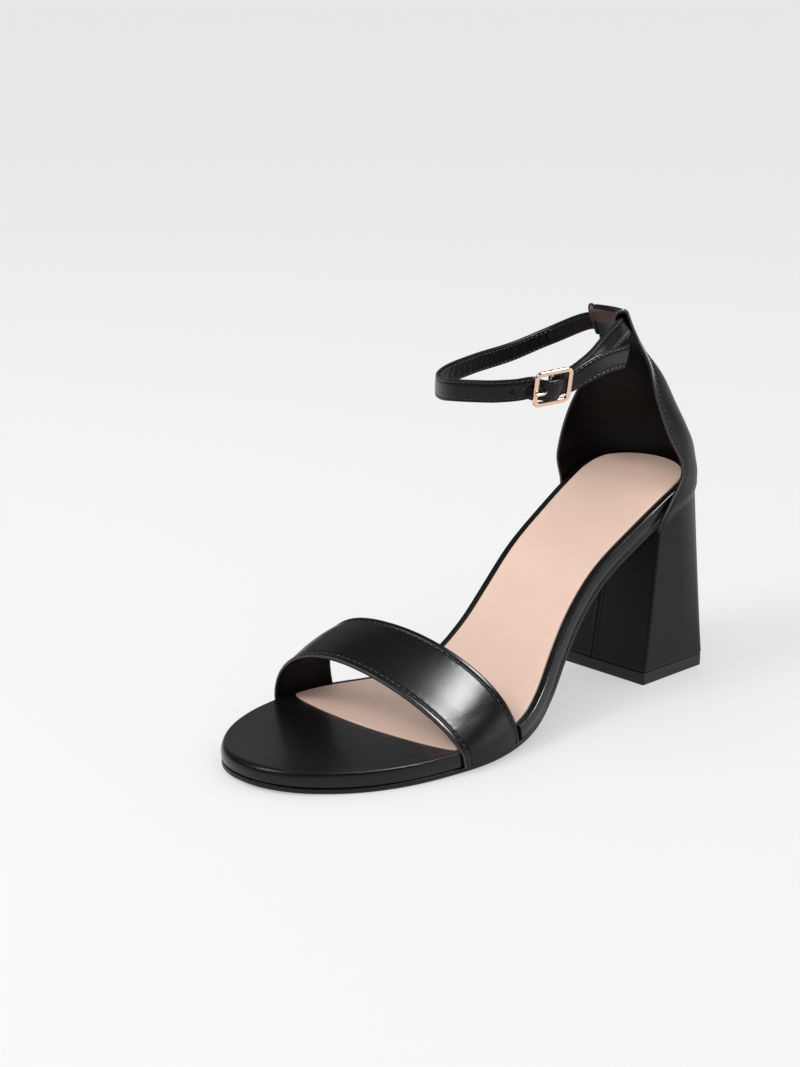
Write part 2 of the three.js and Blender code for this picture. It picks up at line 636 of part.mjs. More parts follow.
const HUMP = BAR_OFFSET + CENTRE_BAR / 2 + CLEAR + ANKLE_STRAP_THICK / 2;

function atBuckle(along, out, up = 0) {
  return BUCKLE_CENTRE.clone()
    .addScaledVector(BUCKLE_ALONG, along)
    .addScaledVector(BUCKLE_OUT, out)
    .addScaledVector(BUCKLE_UP, up);
}

// The ankle strap's middle line: tip, buckle, loop, tunnel, short end
function loopStop(row) {
  const z = LOOP_FRONT_HEIGHT + row.lift * ANKLE_STRAP_WIDTH;
  const place = TUNNEL_PLACE + row.ahead * LOOP_LENGTH;
  return { at: new THREE.Vector3(row.aside * LOOP_WIDTH, -place, z), lean: row.lean };
}

function tunnelStop(a) {
  const { top, rise, inward } = tabFrame(a);
  const lean = THREE.MathUtils.radToDeg(Math.acos(rise.z));
  const at = top.clone().addScaledVector(rise, -ANKLE_STRAP_WIDTH / 2 - 2.5 * CLEAR)
    .addScaledVector(inward, FOLD);
  return { at, lean };
}

function buckleStop(along, out) {
  return { at: atBuckle(along, out), lean: -BUCKLE_LEAN };
}

const half = BUCKLE_LENGTH / 2 - BUCKLE_BAR / 2;
const STRAP_STOPS = [
  ...TIP_END.map(loopStop),
  buckleStop(half + 1.4, 0),
  buckleStop(half - 0.5, 0),
  buckleStop(half * 0.66, HUMP * 0.24),
  buckleStop(half * 0.36, HUMP * 0.82),
  buckleStop(0, HUMP),
  buckleStop(-half * 0.36, HUMP * 0.82),
  buckleStop(-half * 0.66, HUMP * 0.24),
  buckleStop(0.5 - half, 0),
  ...LOOP.map(loopStop),
  tunnelStop(-0.1),
  tunnelStop(0.2),
  tunnelStop(0.5),
  tunnelStop(0.8),
  tunnelStop(0.97),
  tunnelStop(1.15),
  ...SHORT_END.map(loopStop),
  buckleStop(9.5, -3.3),
  buckleStop(4.8, -2.25),
  buckleStop(0.2, BAR_OFFSET - CENTRE_BAR / 2 - CLEAR - ANKLE_STRAP_THICK / 2),
];
const STRAP_LINE = new THREE.CatmullRomCurve3(STRAP_STOPS.map((stop) => stop.at), false, 'centripetal');

function ankleStrapFace(a, b) {
  const length = STRAP_LINE.getLength();
  const cut = TIP_SLANT / length * (1 - a) * Math.max(0, 1 - b * 20);
  const share = clamp(b + cut, 0, 1);
  const at = STRAP_LINE.getPointAt(share);
  const tangent = STRAP_LINE.getTangentAt(share);
  const stop = STRAP_LINE.getUtoTmapping(share) * (STRAP_STOPS.length - 1);
  const i = Math.min(STRAP_STOPS.length - 2, Math.floor(stop));
  const lean = lerp(STRAP_STOPS[i].lean, STRAP_STOPS[i + 1].lean, stop - i);
  const out = new THREE.Vector3(tangent.y, -tangent.x, 0).normalize().negate();
  const up = tangent.clone().cross(out).normalize();
  if (up.z < 0) up.negate();
  const angle = radians(lean);
  const wide = up.multiplyScalar(Math.cos(angle)).addScaledVector(out, -Math.sin(angle));
  const face = new THREE.Vector3().crossVectors(wide, tangent).normalize();
  if (face.dot(out) < 0) face.negate();
  return at.clone()
    .addScaledVector(wide, (a - 0.5) * ANKLE_STRAP_WIDTH)
    .addScaledVector(face, ANKLE_STRAP_THICK / 2);
}

function buckleMatrix(lift) {
  return new THREE.Matrix4().makeBasis(BUCKLE_ALONG, BUCKLE_UP, BUCKLE_OUT).setPosition(atBuckle(0, 0, lift));
}

function roundedBox(shape, wide, high, radius) {
  const x = wide / 2;
  const y = high / 2;
  shape.moveTo(-x + radius, -y);
  shape.lineTo(x - radius, -y);
  shape.absarc(x - radius, -y + radius, radius, -Math.PI / 2, 0);
  shape.lineTo(x, y - radius);
  shape.absarc(x - radius, y - radius, radius, 0, Math.PI / 2);
  shape.lineTo(-x + radius, y);
  shape.absarc(-x + radius, y - radius, radius, Math.PI / 2, Math.PI);
  shape.lineTo(-x, -y + radius);
  shape.absarc(-x + radius, -y + radius, radius, Math.PI, Math.PI * 1.5);
  return shape;
}

function welded(geometry) {
  const bare = geometry.index ? geometry.toNonIndexed() : geometry;
  bare.deleteAttribute('normal');
  bare.deleteAttribute('uv');
  return mergeVertices(bare, 1e-4);
}

function buckleFrameGeometry() {
  const shape = roundedBox(new THREE.Shape(), BUCKLE_LENGTH, BUCKLE_HEIGHT, BUCKLE_CORNER);
  const inner = Math.max(0.5, BUCKLE_CORNER - BUCKLE_BAR);
  const window = roundedBox(new THREE.Path(), BUCKLE_LENGTH - 2 * BUCKLE_BAR, BUCKLE_HEIGHT - 2 * BUCKLE_BAR, inner);
  shape.holes.push(window);
  const frame = new THREE.ExtrudeGeometry(shape, { depth: BUCKLE_THICK, bevelEnabled: false, curveSegments: 5 });
  frame.translate(0, 0, FRAME_OFFSET - BUCKLE_THICK / 2);
  const bar = new THREE.CylinderGeometry(CENTRE_BAR / 2, CENTRE_BAR / 2, BUCKLE_HEIGHT - BUCKLE_BAR, 10);
  bar.translate(0, 0, BAR_OFFSET);
  const joined = toManifold(welded(frame)).add(toManifold(welded(bar)));
  return toGeometry(joined).applyMatrix4(buckleMatrix(BUCKLE_LIFT));
}

// Prong: from the centre bar out through the strap's hole, to rest on the front bar
function prongRod(thick) {
  const rest = FRAME_OFFSET + BUCKLE_THICK / 2 + CLEAR + PRONG / 2;
  const gap = CENTRE_BAR / 2 + CLEAR + PRONG / 2;
  const line = new THREE.CatmullRomCurve3([
    new THREE.Vector3(-gap, 0, BAR_OFFSET),
    new THREE.Vector3(-gap - 1.3, 0, BAR_OFFSET + 1.5),
    new THREE.Vector3(-half * 0.7, 0, rest + 0.1),
    new THREE.Vector3(-half, 0, rest + 0.2),
    new THREE.Vector3(-half - 1.0, 0, rest + 0.1),
  ]);
  const ring = new THREE.Shape().absarc(0, 0, thick / 2, 0, 2 * Math.PI);
  return welded(new THREE.ExtrudeGeometry(ring, { steps: 10, extrudePath: line, curveSegments: 4 }));
}

function ankleStrapGeometry() {
  const band = toManifold(sheet(ankleStrapFace, ANKLE_STRAP_THICK, 2, 84, false));
  const hole = toManifold(prongRod(PRONG + 2 * CLEAR).applyMatrix4(buckleMatrix(0)));
  return toGeometry(band.subtract(hole));
}

// Colours and finishes
const BLACK_LEATHER = { color: 0x1d1d1e, roughness: 0.42, metalness: 0 };
const BLACK_RUBBER = { color: 0x191919, roughness: 0.6, metalness: 0 };
const NUDE_SOCK = { color: 0xe8cfc2, roughness: 0.62, metalness: 0 };
const ROSE_GOLD = { color: 0xd9a583, roughness: 0.25, metalness: 1 };

const shoe = new THREE.Group();

function add(name, geometry, finish) {
  geometry.computeVertexNormals();
  const mesh = new THREE.Mesh(geometry, new THREE.MeshStandardMaterial(finish));
  mesh.name = name;
  shoe.add(mesh);
}

add('outsole', outsoleGeometry(), BLACK_RUBBER);
add('footbed', footbedGeometry(), BLACK_LEATHER);
add('insole_sock', sockGeometry(), NUDE_SOCK);
add('heel_block', heelGeometry(), BLACK_LEATHER);
add('top_piece', topPieceGeometry(), BLACK_RUBBER);
add('toe_strap', sheet((a, b) => toeStrapFace(a, b), TOE_STRAP_THICK, 6, 40, false), BLACK_LEATHER);
add('heel_counter', sheet(counterFace, COUNTER_THICK, 16, 27, true), BLACK_LEATHER);
add('ankle_strap', ankleStrapGeometry(), BLACK_LEATHER);
add('buckle_frame', buckleFrameGeometry(), ROSE_GOLD);
add('buckle_prong', prongRod(PRONG).applyMatrix4(buckleMatrix(0)), ROSE_GOLD);

const box = new THREE.Box3().setFromObject(shoe);
const middle = box.getCenter(new THREE.Vector3());
shoe.position.set(-middle.x, -middle.y, -box.min.z);

export default shoe;
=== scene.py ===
"""Looks of a closed heel sandal, left shoe.

Local millimetres, as in the part's source: x to the outer side, s forward from the back of the seat
(y = -s) and z up. Every surface is worked out with numpy there and moved to the row frame in metres.
"""
import math

import bmesh
import bpy
import numpy as np
from mathutils import Matrix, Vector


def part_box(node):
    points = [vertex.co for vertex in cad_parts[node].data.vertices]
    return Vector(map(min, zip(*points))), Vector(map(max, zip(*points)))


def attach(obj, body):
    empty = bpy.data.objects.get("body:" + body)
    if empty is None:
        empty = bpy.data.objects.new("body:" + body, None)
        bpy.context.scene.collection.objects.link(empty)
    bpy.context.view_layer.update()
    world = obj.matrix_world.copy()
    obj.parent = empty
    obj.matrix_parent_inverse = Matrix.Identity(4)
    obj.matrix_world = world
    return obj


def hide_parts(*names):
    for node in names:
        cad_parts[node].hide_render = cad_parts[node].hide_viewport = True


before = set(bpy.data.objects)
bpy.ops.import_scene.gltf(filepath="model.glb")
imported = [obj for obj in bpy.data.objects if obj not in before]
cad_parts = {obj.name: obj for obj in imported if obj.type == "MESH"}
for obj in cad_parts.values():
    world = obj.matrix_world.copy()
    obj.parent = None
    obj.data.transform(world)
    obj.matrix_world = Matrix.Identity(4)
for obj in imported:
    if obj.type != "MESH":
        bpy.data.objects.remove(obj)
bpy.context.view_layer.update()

# ---------------------------------------------------------------- sizes, millimetres
SOLE_LENGTH = 212.6
BALL_WIDTH = 84.0
SEAT_WIDTH = 50.4
WAIST_WIDTH = 46.2
TOE_WIDTH = 64.4
TOE_SWING = 13.9
SEAT_HEIGHT = 80.8
TOE_SPRING = 1.2
FOOTBED_THICK = 5.6
OUTSOLE_THICK = 2.0
SEAT_WEDGE = 0.5
SEAT_ROUND = 26.0
TOE_ROUND = 54.0
TOE_POWER = 2.3
CLEAR = 0.3
SQUARE_START = 20.0
SQUARE_END = 46.0
SOLE_THICK = FOOTBED_THICK + CLEAR + OUTSOLE_THICK

SOCK_THICK = 1.2
SOCK_PROUD = 0.3
SOCK_MARGIN = 3.2
SOCK_LENGTH = 159.3
SOCK_FRONT_ROUND = 6.0
SOCK_FRONT_POWER = 1.7
SOCK_FRONT_RUN = 41.0
SOCK_INNER_FILL = 1.6
SOCK_SLANT = 0.045
SOCK_SWING = 3.4

BREAST_TOP = 37.4
HEEL_TREAD_LENGTH = 36.2
HEEL_TREAD_WIDTH = 53.4
HEEL_TREAD_SPREAD = 3.2
HEEL_TREAD_BACK = 4.6
HEEL_BOW = 1.6
HEEL_CORNER = 2.4
HEEL_GROW = 1.6
HEEL_TUCK = 0.8
HEEL_GAP = 1.7 * CLEAR
TOP_PIECE_THICK = 5.0
# shares of half the heel's outline: up to the sides, up to the breast, and its foot's corner
BACK_PART = 0.46
SIDE_PART = 0.8
CORNER_FROM = 0.4
CORNER_TO = 0.7

TOE_STRAP_THICK = 1.6
TOE_STRAP_RISE = 33.6
TOE_STRAP_LEAN = 13.0
TOE_STRAP_SKEW = 11.7
ARCH_START = 6.5

COUNTER_THICK = 1.5
COUNTER_RISE = 67.6
COUNTER_BASE = 75.2
FLAP_DROP = 11.0
WALL_PART = 0.7
FOLD_PART = 0.86

ANKLE_STRAP_WIDTH = 8.0
ANKLE_STRAP_THICK = 1.6
LOOP_LENGTH = 94.0
LOOP_WIDTH = 58.0
LOOP_FRONT_HEIGHT = 126.0
TUNNEL_PLACE = 28.6
TIP_SLANT = 4.0
BUCKLE_LENGTH = 15.6
BUCKLE_HEIGHT = 13.8
BUCKLE_LIFT = 0.9
BUCKLE_PLACE = 101.1
BUCKLE_SIDE = 26.2
BUCKLE_TURN = 17.0
BUCKLE_RISE = 4.0
BUCKLE_LEAN = 16.0
BUCKLE_BAR = 1.8
BUCKLE_THICK = 1.5
BUCKLE_CORNER = 2.6
CENTRE_BAR = 1.0
PRONG = 1.2
STITCH_PITCH = 2.1
BAND_STITCH_PITCH = 2.5
TUNNEL = ANKLE_STRAP_THICK / 2 + 2.5 * CLEAR
FOLD = TUNNEL + COUNTER_THICK

# along: share of the sole's length; shift: share of the toe's swing; half: half width
PLAN_ALONG = np.array([0, .04, .10, .20, .32, .44, .56, .66, .76, .88, 1.0])
PLAN_SHIFT = np.array([.18, .18, .20, .22, .10, .17, .06, -.45, -.65, -.83, -1.0])
PLAN_HALF = np.array([1.020 * SEAT_WIDTH, 1.020 * SEAT_WIDTH, 1.005 * SEAT_WIDTH,
                      .970 * SEAT_WIDTH, WAIST_WIDTH, 1.070 * WAIST_WIDTH, .815 * BALL_WIDTH,
                      BALL_WIDTH, .985 * BALL_WIDTH, .903 * BALL_WIDTH, TOE_WIDTH]) / 2
PROFILE_ALONG = np.array([0, .06, .12, .18, .25, .32, .39, .45, .50, .55, .60, .66, .70, .86, .94, 1.0])
PROFILE_RISE = np.array([1, .992, .948, .873, .756, .620, .441, .264, .133, .056, .022, .003]
                        + [0] * 4)
PROFILE_LIFT = np.array([0] * 14 + [.3, 1.0])

# The counter's levels; the columns are those of the part's source
COUNTER_LEVEL = np.array([0, .130, .308, .485, .663, .825, .899, 1.0])
COUNTER = {
    "centre": [.052, .038, .004, -.032, -.063, -.079, -.095, -.099],
    "back": [-.027, -.028, .009, .086, .175, .305, .342, .405],
    "wide": [.548, .560, .538, .478, .407, .317, .298, .288],
    "deep": [.560, .560, .534, .490, .429, .337, .298, .238],
    "outer": [1.40, 1.01, 1.02, 1.01, .88, .54, .48, .51],
    "inner": [1.24, 1.19, 1.05, .83, .59, .43, .42, .42],
}
# The toe strap's edge arches: ends as shares of the sole's length, rise as a share of the strap's,
# powers of the arch's height and swing, and how deep the outer end sinks in, in strap thicknesses
TOE_STRAP_FRONT = {"outer": .7197, "inner": .7667, "rise": .756, "full": 1.29, "side": 1.07,
                   "sink": .25}
TOE_STRAP_BACK = {"outer": .5828, "inner": .6425, "rise": 1.0, "full": .91, "side": .91, "sink": 1.625}

# The ankle strap's stops: ahead, aside, lift, lean
TIP_END = [(.388, .574, 1.22, 10), (.500, .559, 1.14, 8), (.569, .545, .97, 4), (.633, .522, .70, -4)]
LOOP = [(.836, .419, .38, -8), (.889, .352, .30, -4), (.941, .250, .22, 0), (.977, .131, .17, 0),
        (.995, .004, .10, 0), (.969, -.139, -.05, 0), (.898, -.284, -.10, 2), (.763, -.411, -.09, 6),
        (.552, -.482, .00, 10), (.319, -.488, .18, 12), (.138, -.418, .71, 18)]
SHORT_END = [(.128, .155, 1.46, 20), (.279, .224, .97, 18), (.426, .328, .78, 8), (.553, .400, .63, 0)]


# ---------------------------------------------------------------- curves and small helpers
def natural_spline(xs, ys):
    """Natural cubic spline through the points (xs, ys), for arrays."""
    xs, ys = np.asarray(xs, float), np.asarray(ys, float)
    h, n = np.diff(xs), len(xs)
    system, right = np.eye(n), np.zeros(n)
    for i in range(1, n - 1):
        system[i, i - 1:i + 2] = h[i - 1], 2 * (h[i - 1] + h[i]), h[i]
        right[i] = 6 * ((ys[i + 1] - ys[i]) / h[i] - (ys[i] - ys[i - 1]) / h[i - 1])
    m = np.linalg.solve(system, right)

    def curve(x):
        x = np.asarray(x, float)
        i = np.clip(np.searchsorted(xs, x) - 1, 0, n - 2)
        p, q = (xs[i + 1] - x) / h[i], (x - xs[i]) / h[i]
        return p * ys[i] + q * ys[i + 1] + ((p**3 - p) * m[i] + (q**3 - q) * m[i + 1]) * h[i]**2 / 6
    return curve


def monotone_curve(xs, ys):
    """Monotone cubic through the points: slopes are weighted harmonic means of the steps' rates."""
    xs, ys = np.asarray(xs, float), np.asarray(ys, float)
    h = np.diff(xs)
    rate = np.diff(ys) / h
    slope = np.concatenate([[rate[0]], np.zeros(len(xs) - 2), [rate[-1]]])
    for i in range(1, len(xs) - 1):
        if rate[i - 1] * rate[i] > 0:
            a, b = 2 * h[i] + h[i - 1], h[i] + 2 * h[i - 1]
            slope[i] = (a + b) / (a / rate[i - 1] + b / rate[i])

    def curve(x):
        x = np.asarray(x, float)
        i = np.clip(np.searchsorted(xs, x) - 1, 0, len(xs) - 2)
        t = (x - xs[i]) / h[i]
        return (ys[i] * (1 + 2 * t) * (1 - t)**2 + slope[i] * h[i] * t * (1 - t)**2
                + ys[i + 1] * t * t * (3 - 2 * t) - slope[i + 1] * h[i] * t * t * (1 - t))
    return curve


def lerp(a, b, t):
    return a + (b - a) * t


def ease(t):
    return t * t * (3 - 2 * t)


def ramp(x, low, high):
    """Smooth step from 0 at low to 1 at high."""
    return ease(np.clip((x - low) / (high - low), 0, 1))


def bell(x, middle, wide):
    """Gaussian bump of height 1."""
    return np.exp(-((x - middle) / wide)**2)


def unit(v):
    return v / np.maximum(np.linalg.norm(v, axis=-1, keepdims=True), 1e-12)


def stack(x, y, z):
    return np.stack(np.broadcast_arrays(x, y, z), -1).astype(float)


def turned(v, axis, degrees):
    """v turned about a unit axis, by Rodrigues' formula."""
    c, s = math.cos(math.radians(degrees)), math.sin(math.radians(degrees))
    return v * c + np.cross(axis, v) * s + axis * np.dot(axis, v) * (1 - c)


# ---------------------------------------------------------------- the sole's own functions
shift_share = natural_spline(PLAN_ALONG, PLAN_SHIFT)
half_table = natural_spline(PLAN_ALONG, PLAN_HALF)
rise_share = monotone_curve(PROFILE_ALONG, PROFILE_RISE)
lift_share = monotone_curve(PROFILE_ALONG, PROFILE_LIFT)


def centre_at(s):
    return TOE_SWING * shift_share(np.clip(s / SOLE_LENGTH, 0, 1))


def half_at(s):
    return half_table(np.clip(s / SOLE_LENGTH, 0, 1))


def top_at(s):
    share = np.clip(s / SOLE_LENGTH, 0, 1)
    return SOLE_THICK + (SEAT_HEIGHT - SOLE_THICK) * rise_share(share) + TOE_SPRING * lift_share(share)


def slope_at(s):
    place = np.clip(s, 0.5, SOLE_LENGTH - 0.5)
    return top_at(place + 0.5) - top_at(place - 0.5)


def square_at(s):
    return ramp(s, SQUARE_START, SQUARE_END)


def wedge_at(s):
    return SEAT_WEDGE * (1 - ramp(s, 0, BREAST_TOP))


def on_sole(x, s, h):
    """A point h above the footbed's top: upright under the seat, square to the footbed ahead of it."""
    slope, square = slope_at(s), square_at(s)
    norm = np.hypot(1, slope)
    return stack(x, h * slope / norm * square - s, top_at(s) + h * lerp(norm, 1 / norm, square))


def outline(turn, start, end, back_round, toe_round, toe_power, inset=0.0, swing=0.0):
    """Plan of a sole layer at an angle round it, 0 at the back and pi at the toe: s follows a half
    cosine, and the half width is rounded at both ends by superellipses."""
    s = lerp(start, end, (1 - np.cos(turn)) / 2)
    back = np.clip(1 - (s - start) / back_round, 0, 1)
    front = np.clip(1 - (end - s) / toe_round, 0, 1)
    rounding = np.sqrt(1 - back**2) * (1 - front**toe_power)**(1 / toe_power)
    centre = centre_at(s) - swing * np.clip(1 - s / 20, 0, 1)**1.5
    side = np.where(np.sin(turn) >= 0, 1, -1)
    return centre + side * np.maximum(0, half_at(s) - inset) * rounding, s


def spine_for(s, plan):
    """The middle line that a layer's rings run towards, clear of both rounded ends."""
    low = plan["start"] + min(plan["back_round"], (plan["end"] - plan["start"]) * 0.4)
    place = np.clip(s, low, plan["end"] - plan["toe_round"] * 0.75)
    return centre_at(place), place


def layer_rows(edge, spine, rings, lift=None):
    """Rows of a sole layer. A ring is an inset from the edge towards the spine (None: the spine), a
    height over the footbed's top and a share of the seat's wedge; lift(x, s) adds to the height."""
    (edge_x, edge_s), (spine_x, spine_s) = edge, spine
    reach = np.maximum(np.hypot(spine_x - edge_x, spine_s - edge_s), 1e-6)
    rows = []
    for inset, height, under in rings:
        inward = np.ones_like(reach) if inset is None else np.minimum(1, inset / reach)
        x, s = lerp(edge_x, spine_x, inward), lerp(edge_s, spine_s, inward)
        h = height - under * wedge_at(s)
        if lift is not None:
            h = h + lift(x, s, height)
        rows.append(on_sole(x, s, h))
    return np.stack(rows)


def corner(inset, height, radius, start, stop, steps, under=0.0):
    """Rings round a quarter of an edge, from angle start to stop in degrees, 0 being outward."""
    angles = np.radians(np.linspace(start, stop, steps))
    return [(inset + radius * (1 - math.cos(a)), height + radius * math.sin(a), under) for a in angles]


# ---------------------------------------------------------------- meshes
TREAD_LOW, TREAD_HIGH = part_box("top_piece")
SHIFT = np.array([(TREAD_LOW.x + TREAD_HIGH.x) * 500,
                  TREAD_HIGH.y * 1000 + HEEL_TREAD_BACK - HEEL_BOW, 0.0])


def quads(rows, cols, base=0, wrap=True):
    """Faces of a grid of rows by cols points, closed round its columns."""
    r = np.arange(rows - 1)[:, None]
    c = np.arange(cols if wrap else cols - 1)[None, :]
    a = base + r * cols + c
    b = base + r * cols + (c + 1) % cols
    return np.stack([a, b, b + cols, a + cols], -1).reshape(-1, 4)


def volume(points, faces):
    a, b, c, d = (points[faces[:, i]] for i in range(4))
    return np.einsum("ij,ij->i", a, np.cross(b, c) + np.cross(c, d)).sum() / 6


class Piece:
    """Collects closed grids in local millimetres, then makes one mesh of them in the row frame."""

    def __init__(self, name):
        self.name, self.points, self.faces, self.kinds, self.count = name, [], [], [], 0

    def grid(self, rows, kind=0):
        """A closed grid (rows, cols, 3). kind is a material's place, or an array with one per face."""
        count, cols = rows.shape[:2]
        points = rows.reshape(-1, 3)
        faces = quads(count, cols)
        kinds = np.broadcast_to(kind, (count - 1, cols)).reshape(-1).astype(int)
        centred = points - points.mean(0)
        if volume(centred, faces) < 0:
            faces = faces[:, ::-1]
        self.points.append(points)
        self.faces.append(faces + self.count)
        self.kinds.append(kinds)
        self.count += len(points)
        return self

    def many(self, grids, kind=0):
        """The same small closed grid at many places: (places, rows, cols, 3)."""
        places, count, cols = grids.shape[:3]
        faces = quads(count, cols)
        if volume(grids[0].reshape(-1, 3) - grids[0].mean((0, 1)), faces) < 0:
            faces = faces[:, ::-1]
        starts = np.arange(places)[:, None, None] * (count * cols) + self.count
        self.faces.append((faces[None] + starts).reshape(-1, 4))
        self.points.append(grids.reshape(-1, 3))
        self.kinds.append(np.full(places * len(faces), kind))
        self.count += places * count * cols
        return self

    def make(self, materials, slot, nodes=(), sharp=50):
        points = (np.concatenate(self.points) + SHIFT) / 1000
        faces = np.concatenate(self.faces)
        kinds = np.concatenate(self.kinds)
        mesh = bpy.data.meshes.new(self.name)
        mesh.from_pydata(points.tolist(), [], faces.tolist())
        mesh.polygons.foreach_set("material_index", kinds.astype(np.int32))
        work = bmesh.new()
        work.from_mesh(mesh)
        bmesh.ops.remove_doubles(work, verts=work.verts, dist=2e-6)
        bmesh.ops.dissolve_degenerate(work, edges=work.edges, dist=1e-7)
        work.to_mesh(mesh)
        work.free()
        for material in materials:
            mesh.materials.append(material)
        mesh.polygons.foreach_set("use_smooth", np.ones(len(mesh.polygons), bool))
        mesh.set_sharp_from_angle(angle=math.radians(sharp))
        mesh.update()
        piece = bpy.data.objects.new(self.name, mesh)
        bpy.context.scene.collection.objects.link(piece)
        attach(piece, "root")
        if nodes:
            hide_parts(*nodes)
        return piece


# ---------------------------------------------------------------- leather sheets
def face_frame(face, a, b):
    """Point, direction across, direction along and normal of face(a, b), by small differences."""
    e = 1e-4
    across = unit(face(np.minimum(1, a + e), b) - face(np.maximum(0, a - e), b))
    along = unit(face(a, np.minimum(1, b + e)) - face(a, np.maximum(0, b - e)))
    normal = unit(np.cross(across, along))
    return face(a, b), across, along, normal


def across_share(face, b, share, distance):
    """The share a of face(a, b) that lies at share times the row's length plus distance millimetres,
    measured along the row."""
    dense = np.linspace(0, 1, 129)
    line = face(dense[None, :], b[:, None])
    length = np.concatenate([np.zeros((len(b), 1)),
                             np.cumsum(np.linalg.norm(np.diff(line, axis=1), axis=-1), axis=1)], 1)
    wanted = share * length[:, -1:] + distance
    return np.stack([np.interp(w, run, dense) for w, run in zip(wanted, length)]), length[:, -1]


RIM_TURNS = np.radians(np.linspace(90, -90, 9))[1:-1]


def sheet_rows(face, b, thick, edge, samples, relief, border=5.0):
    """Closed sections of a sheet, one for each b. The outer face runs from one edge to the other, then
    half an ellipse (edge by thick / 2) leads round to the inner face and back. relief(d, b, inner) is
    the height to add at a distance d from the nearer edge; the border of each face has close columns.
    Returns the rows, closed by flat cuts, and the kind of each face in a row: 1 on the inner face and
    half of each rim, else 0."""
    near = edge + np.linspace(0, border, samples)
    middle = np.linspace(0, 1, samples)[1:-1]
    share = np.concatenate([np.zeros(samples), middle, np.ones(samples)])
    offset = np.concatenate([near, lerp(border + edge, -border - edge, middle), -near[::-1]])
    _, wide = across_share(face, b, np.zeros((1, 1)), np.zeros((1, 1)))
    fit = np.minimum(1, 0.47 * wide[:, None] / (border + edge))
    distance = offset[None, :] * fit
    a, wide = across_share(face, b, share[None, :], distance)
    at, across, _, normal = face_frame(face, a, b[:, None])
    run = share[None, :] * wide[:, None] + distance
    d = np.minimum(run, wide[:, None] - run)
    outer = at + normal * relief(d, b[:, None], False)[..., None]
    inner = at - normal * (thick + relief(d, b[:, None], True))[..., None]

    def rim(column, sign):
        centre = (outer[:, column] + inner[:, column]) / 2
        up = (outer[:, column] - inner[:, column]) / 2
        out = across[:, column] * sign * edge
        return centre[:, None] + up[:, None] * np.sin(RIM_TURNS)[None, :, None] \
            + out[:, None] * np.cos(RIM_TURNS)[None, :, None]

    rows = np.concatenate([outer, rim(-1, 1), inner[:, ::-1], rim(0, -1)[:, ::-1]], 1)
    n, m = outer.shape[1], len(RIM_TURNS)
    pairs = np.concatenate([np.arange(n)[::-1] + n + m, np.arange(m)[::-1] + n, np.arange(n)[::-1],
                            np.arange(m)[::-1] + 2 * n + m])
    kind = np.zeros(rows.shape[1], int)
    kind[n + m // 2:2 * n + m + m // 2] = 1
    return close_ends(rows, pairs), kind


def stretches(*parts):
    """Places from each start to its stop in even steps: (start, stop, steps), with the last stop."""
    runs = [np.linspace(start, stop, steps, endpoint=False) for start, stop, steps in parts]
    return np.concatenate(runs + [[parts[-1][1]]])


def close_ends(rows, pairs):
    """Adds the section's middle line before the first row and after the last one, which closes a sheet
    with a flat cut. pairs gives the column opposite each column."""
    middle = (rows + rows[:, pairs]) / 2
    return np.concatenate([middle[:1], rows, middle[-1:]])


def stitches(points, along, normal, length=1.9, wide=0.42, sunk=0.06):
    """Thread seen from outside: capsules whose ends dip into the leather. Lengthwise -cos(v), its
    radius sqrt(sin v), its height a parabola."""
    v = np.linspace(0, np.pi, 7)[:, None]
    u = np.linspace(0, 2 * np.pi, 8, endpoint=False)[None, :]
    side = np.cross(normal, along)
    radius = wide / 2 * np.sqrt(np.maximum(np.sin(v), 0))
    x = -np.cos(v) * length / 2 + 0 * u
    y = radius * np.cos(u)
    z = radius * 0.8 * np.sin(u) + 0.16 * np.sin(v) - sunk
    shape = (slice(None), None, None, slice(None))
    return points[shape] + along[shape] * x[None, ..., None] + side[shape] * y[None, ..., None] \
        + normal[shape] * z[None, ..., None]


def stitch_line(face, share, distance, start, stop, pitch, height=0.0, inner=0.0, **size):
    """Stitches along b from start to stop, at a distance from an edge of the sheet."""
    dense = np.linspace(start, stop, 600)
    a, _ = across_share(face, dense, np.full((1, 1), float(share)), np.full((1, 1), float(distance)))
    line = face(a[:, 0], dense)
    run = np.concatenate([[0], np.cumsum(np.linalg.norm(np.diff(line, axis=0), axis=1))])
    count = max(2, int(run[-1] / pitch))
    at = (np.arange(count) + 0.5) * run[-1] / count
    b = np.interp(at, run, dense)
    a = np.interp(at, run, a[:, 0])
    point, _, along, normal = face_frame(face, a, b)
    if inner:
        point, normal = point - normal * inner, -normal
    return stitches(point + normal * height, along, normal, **size)


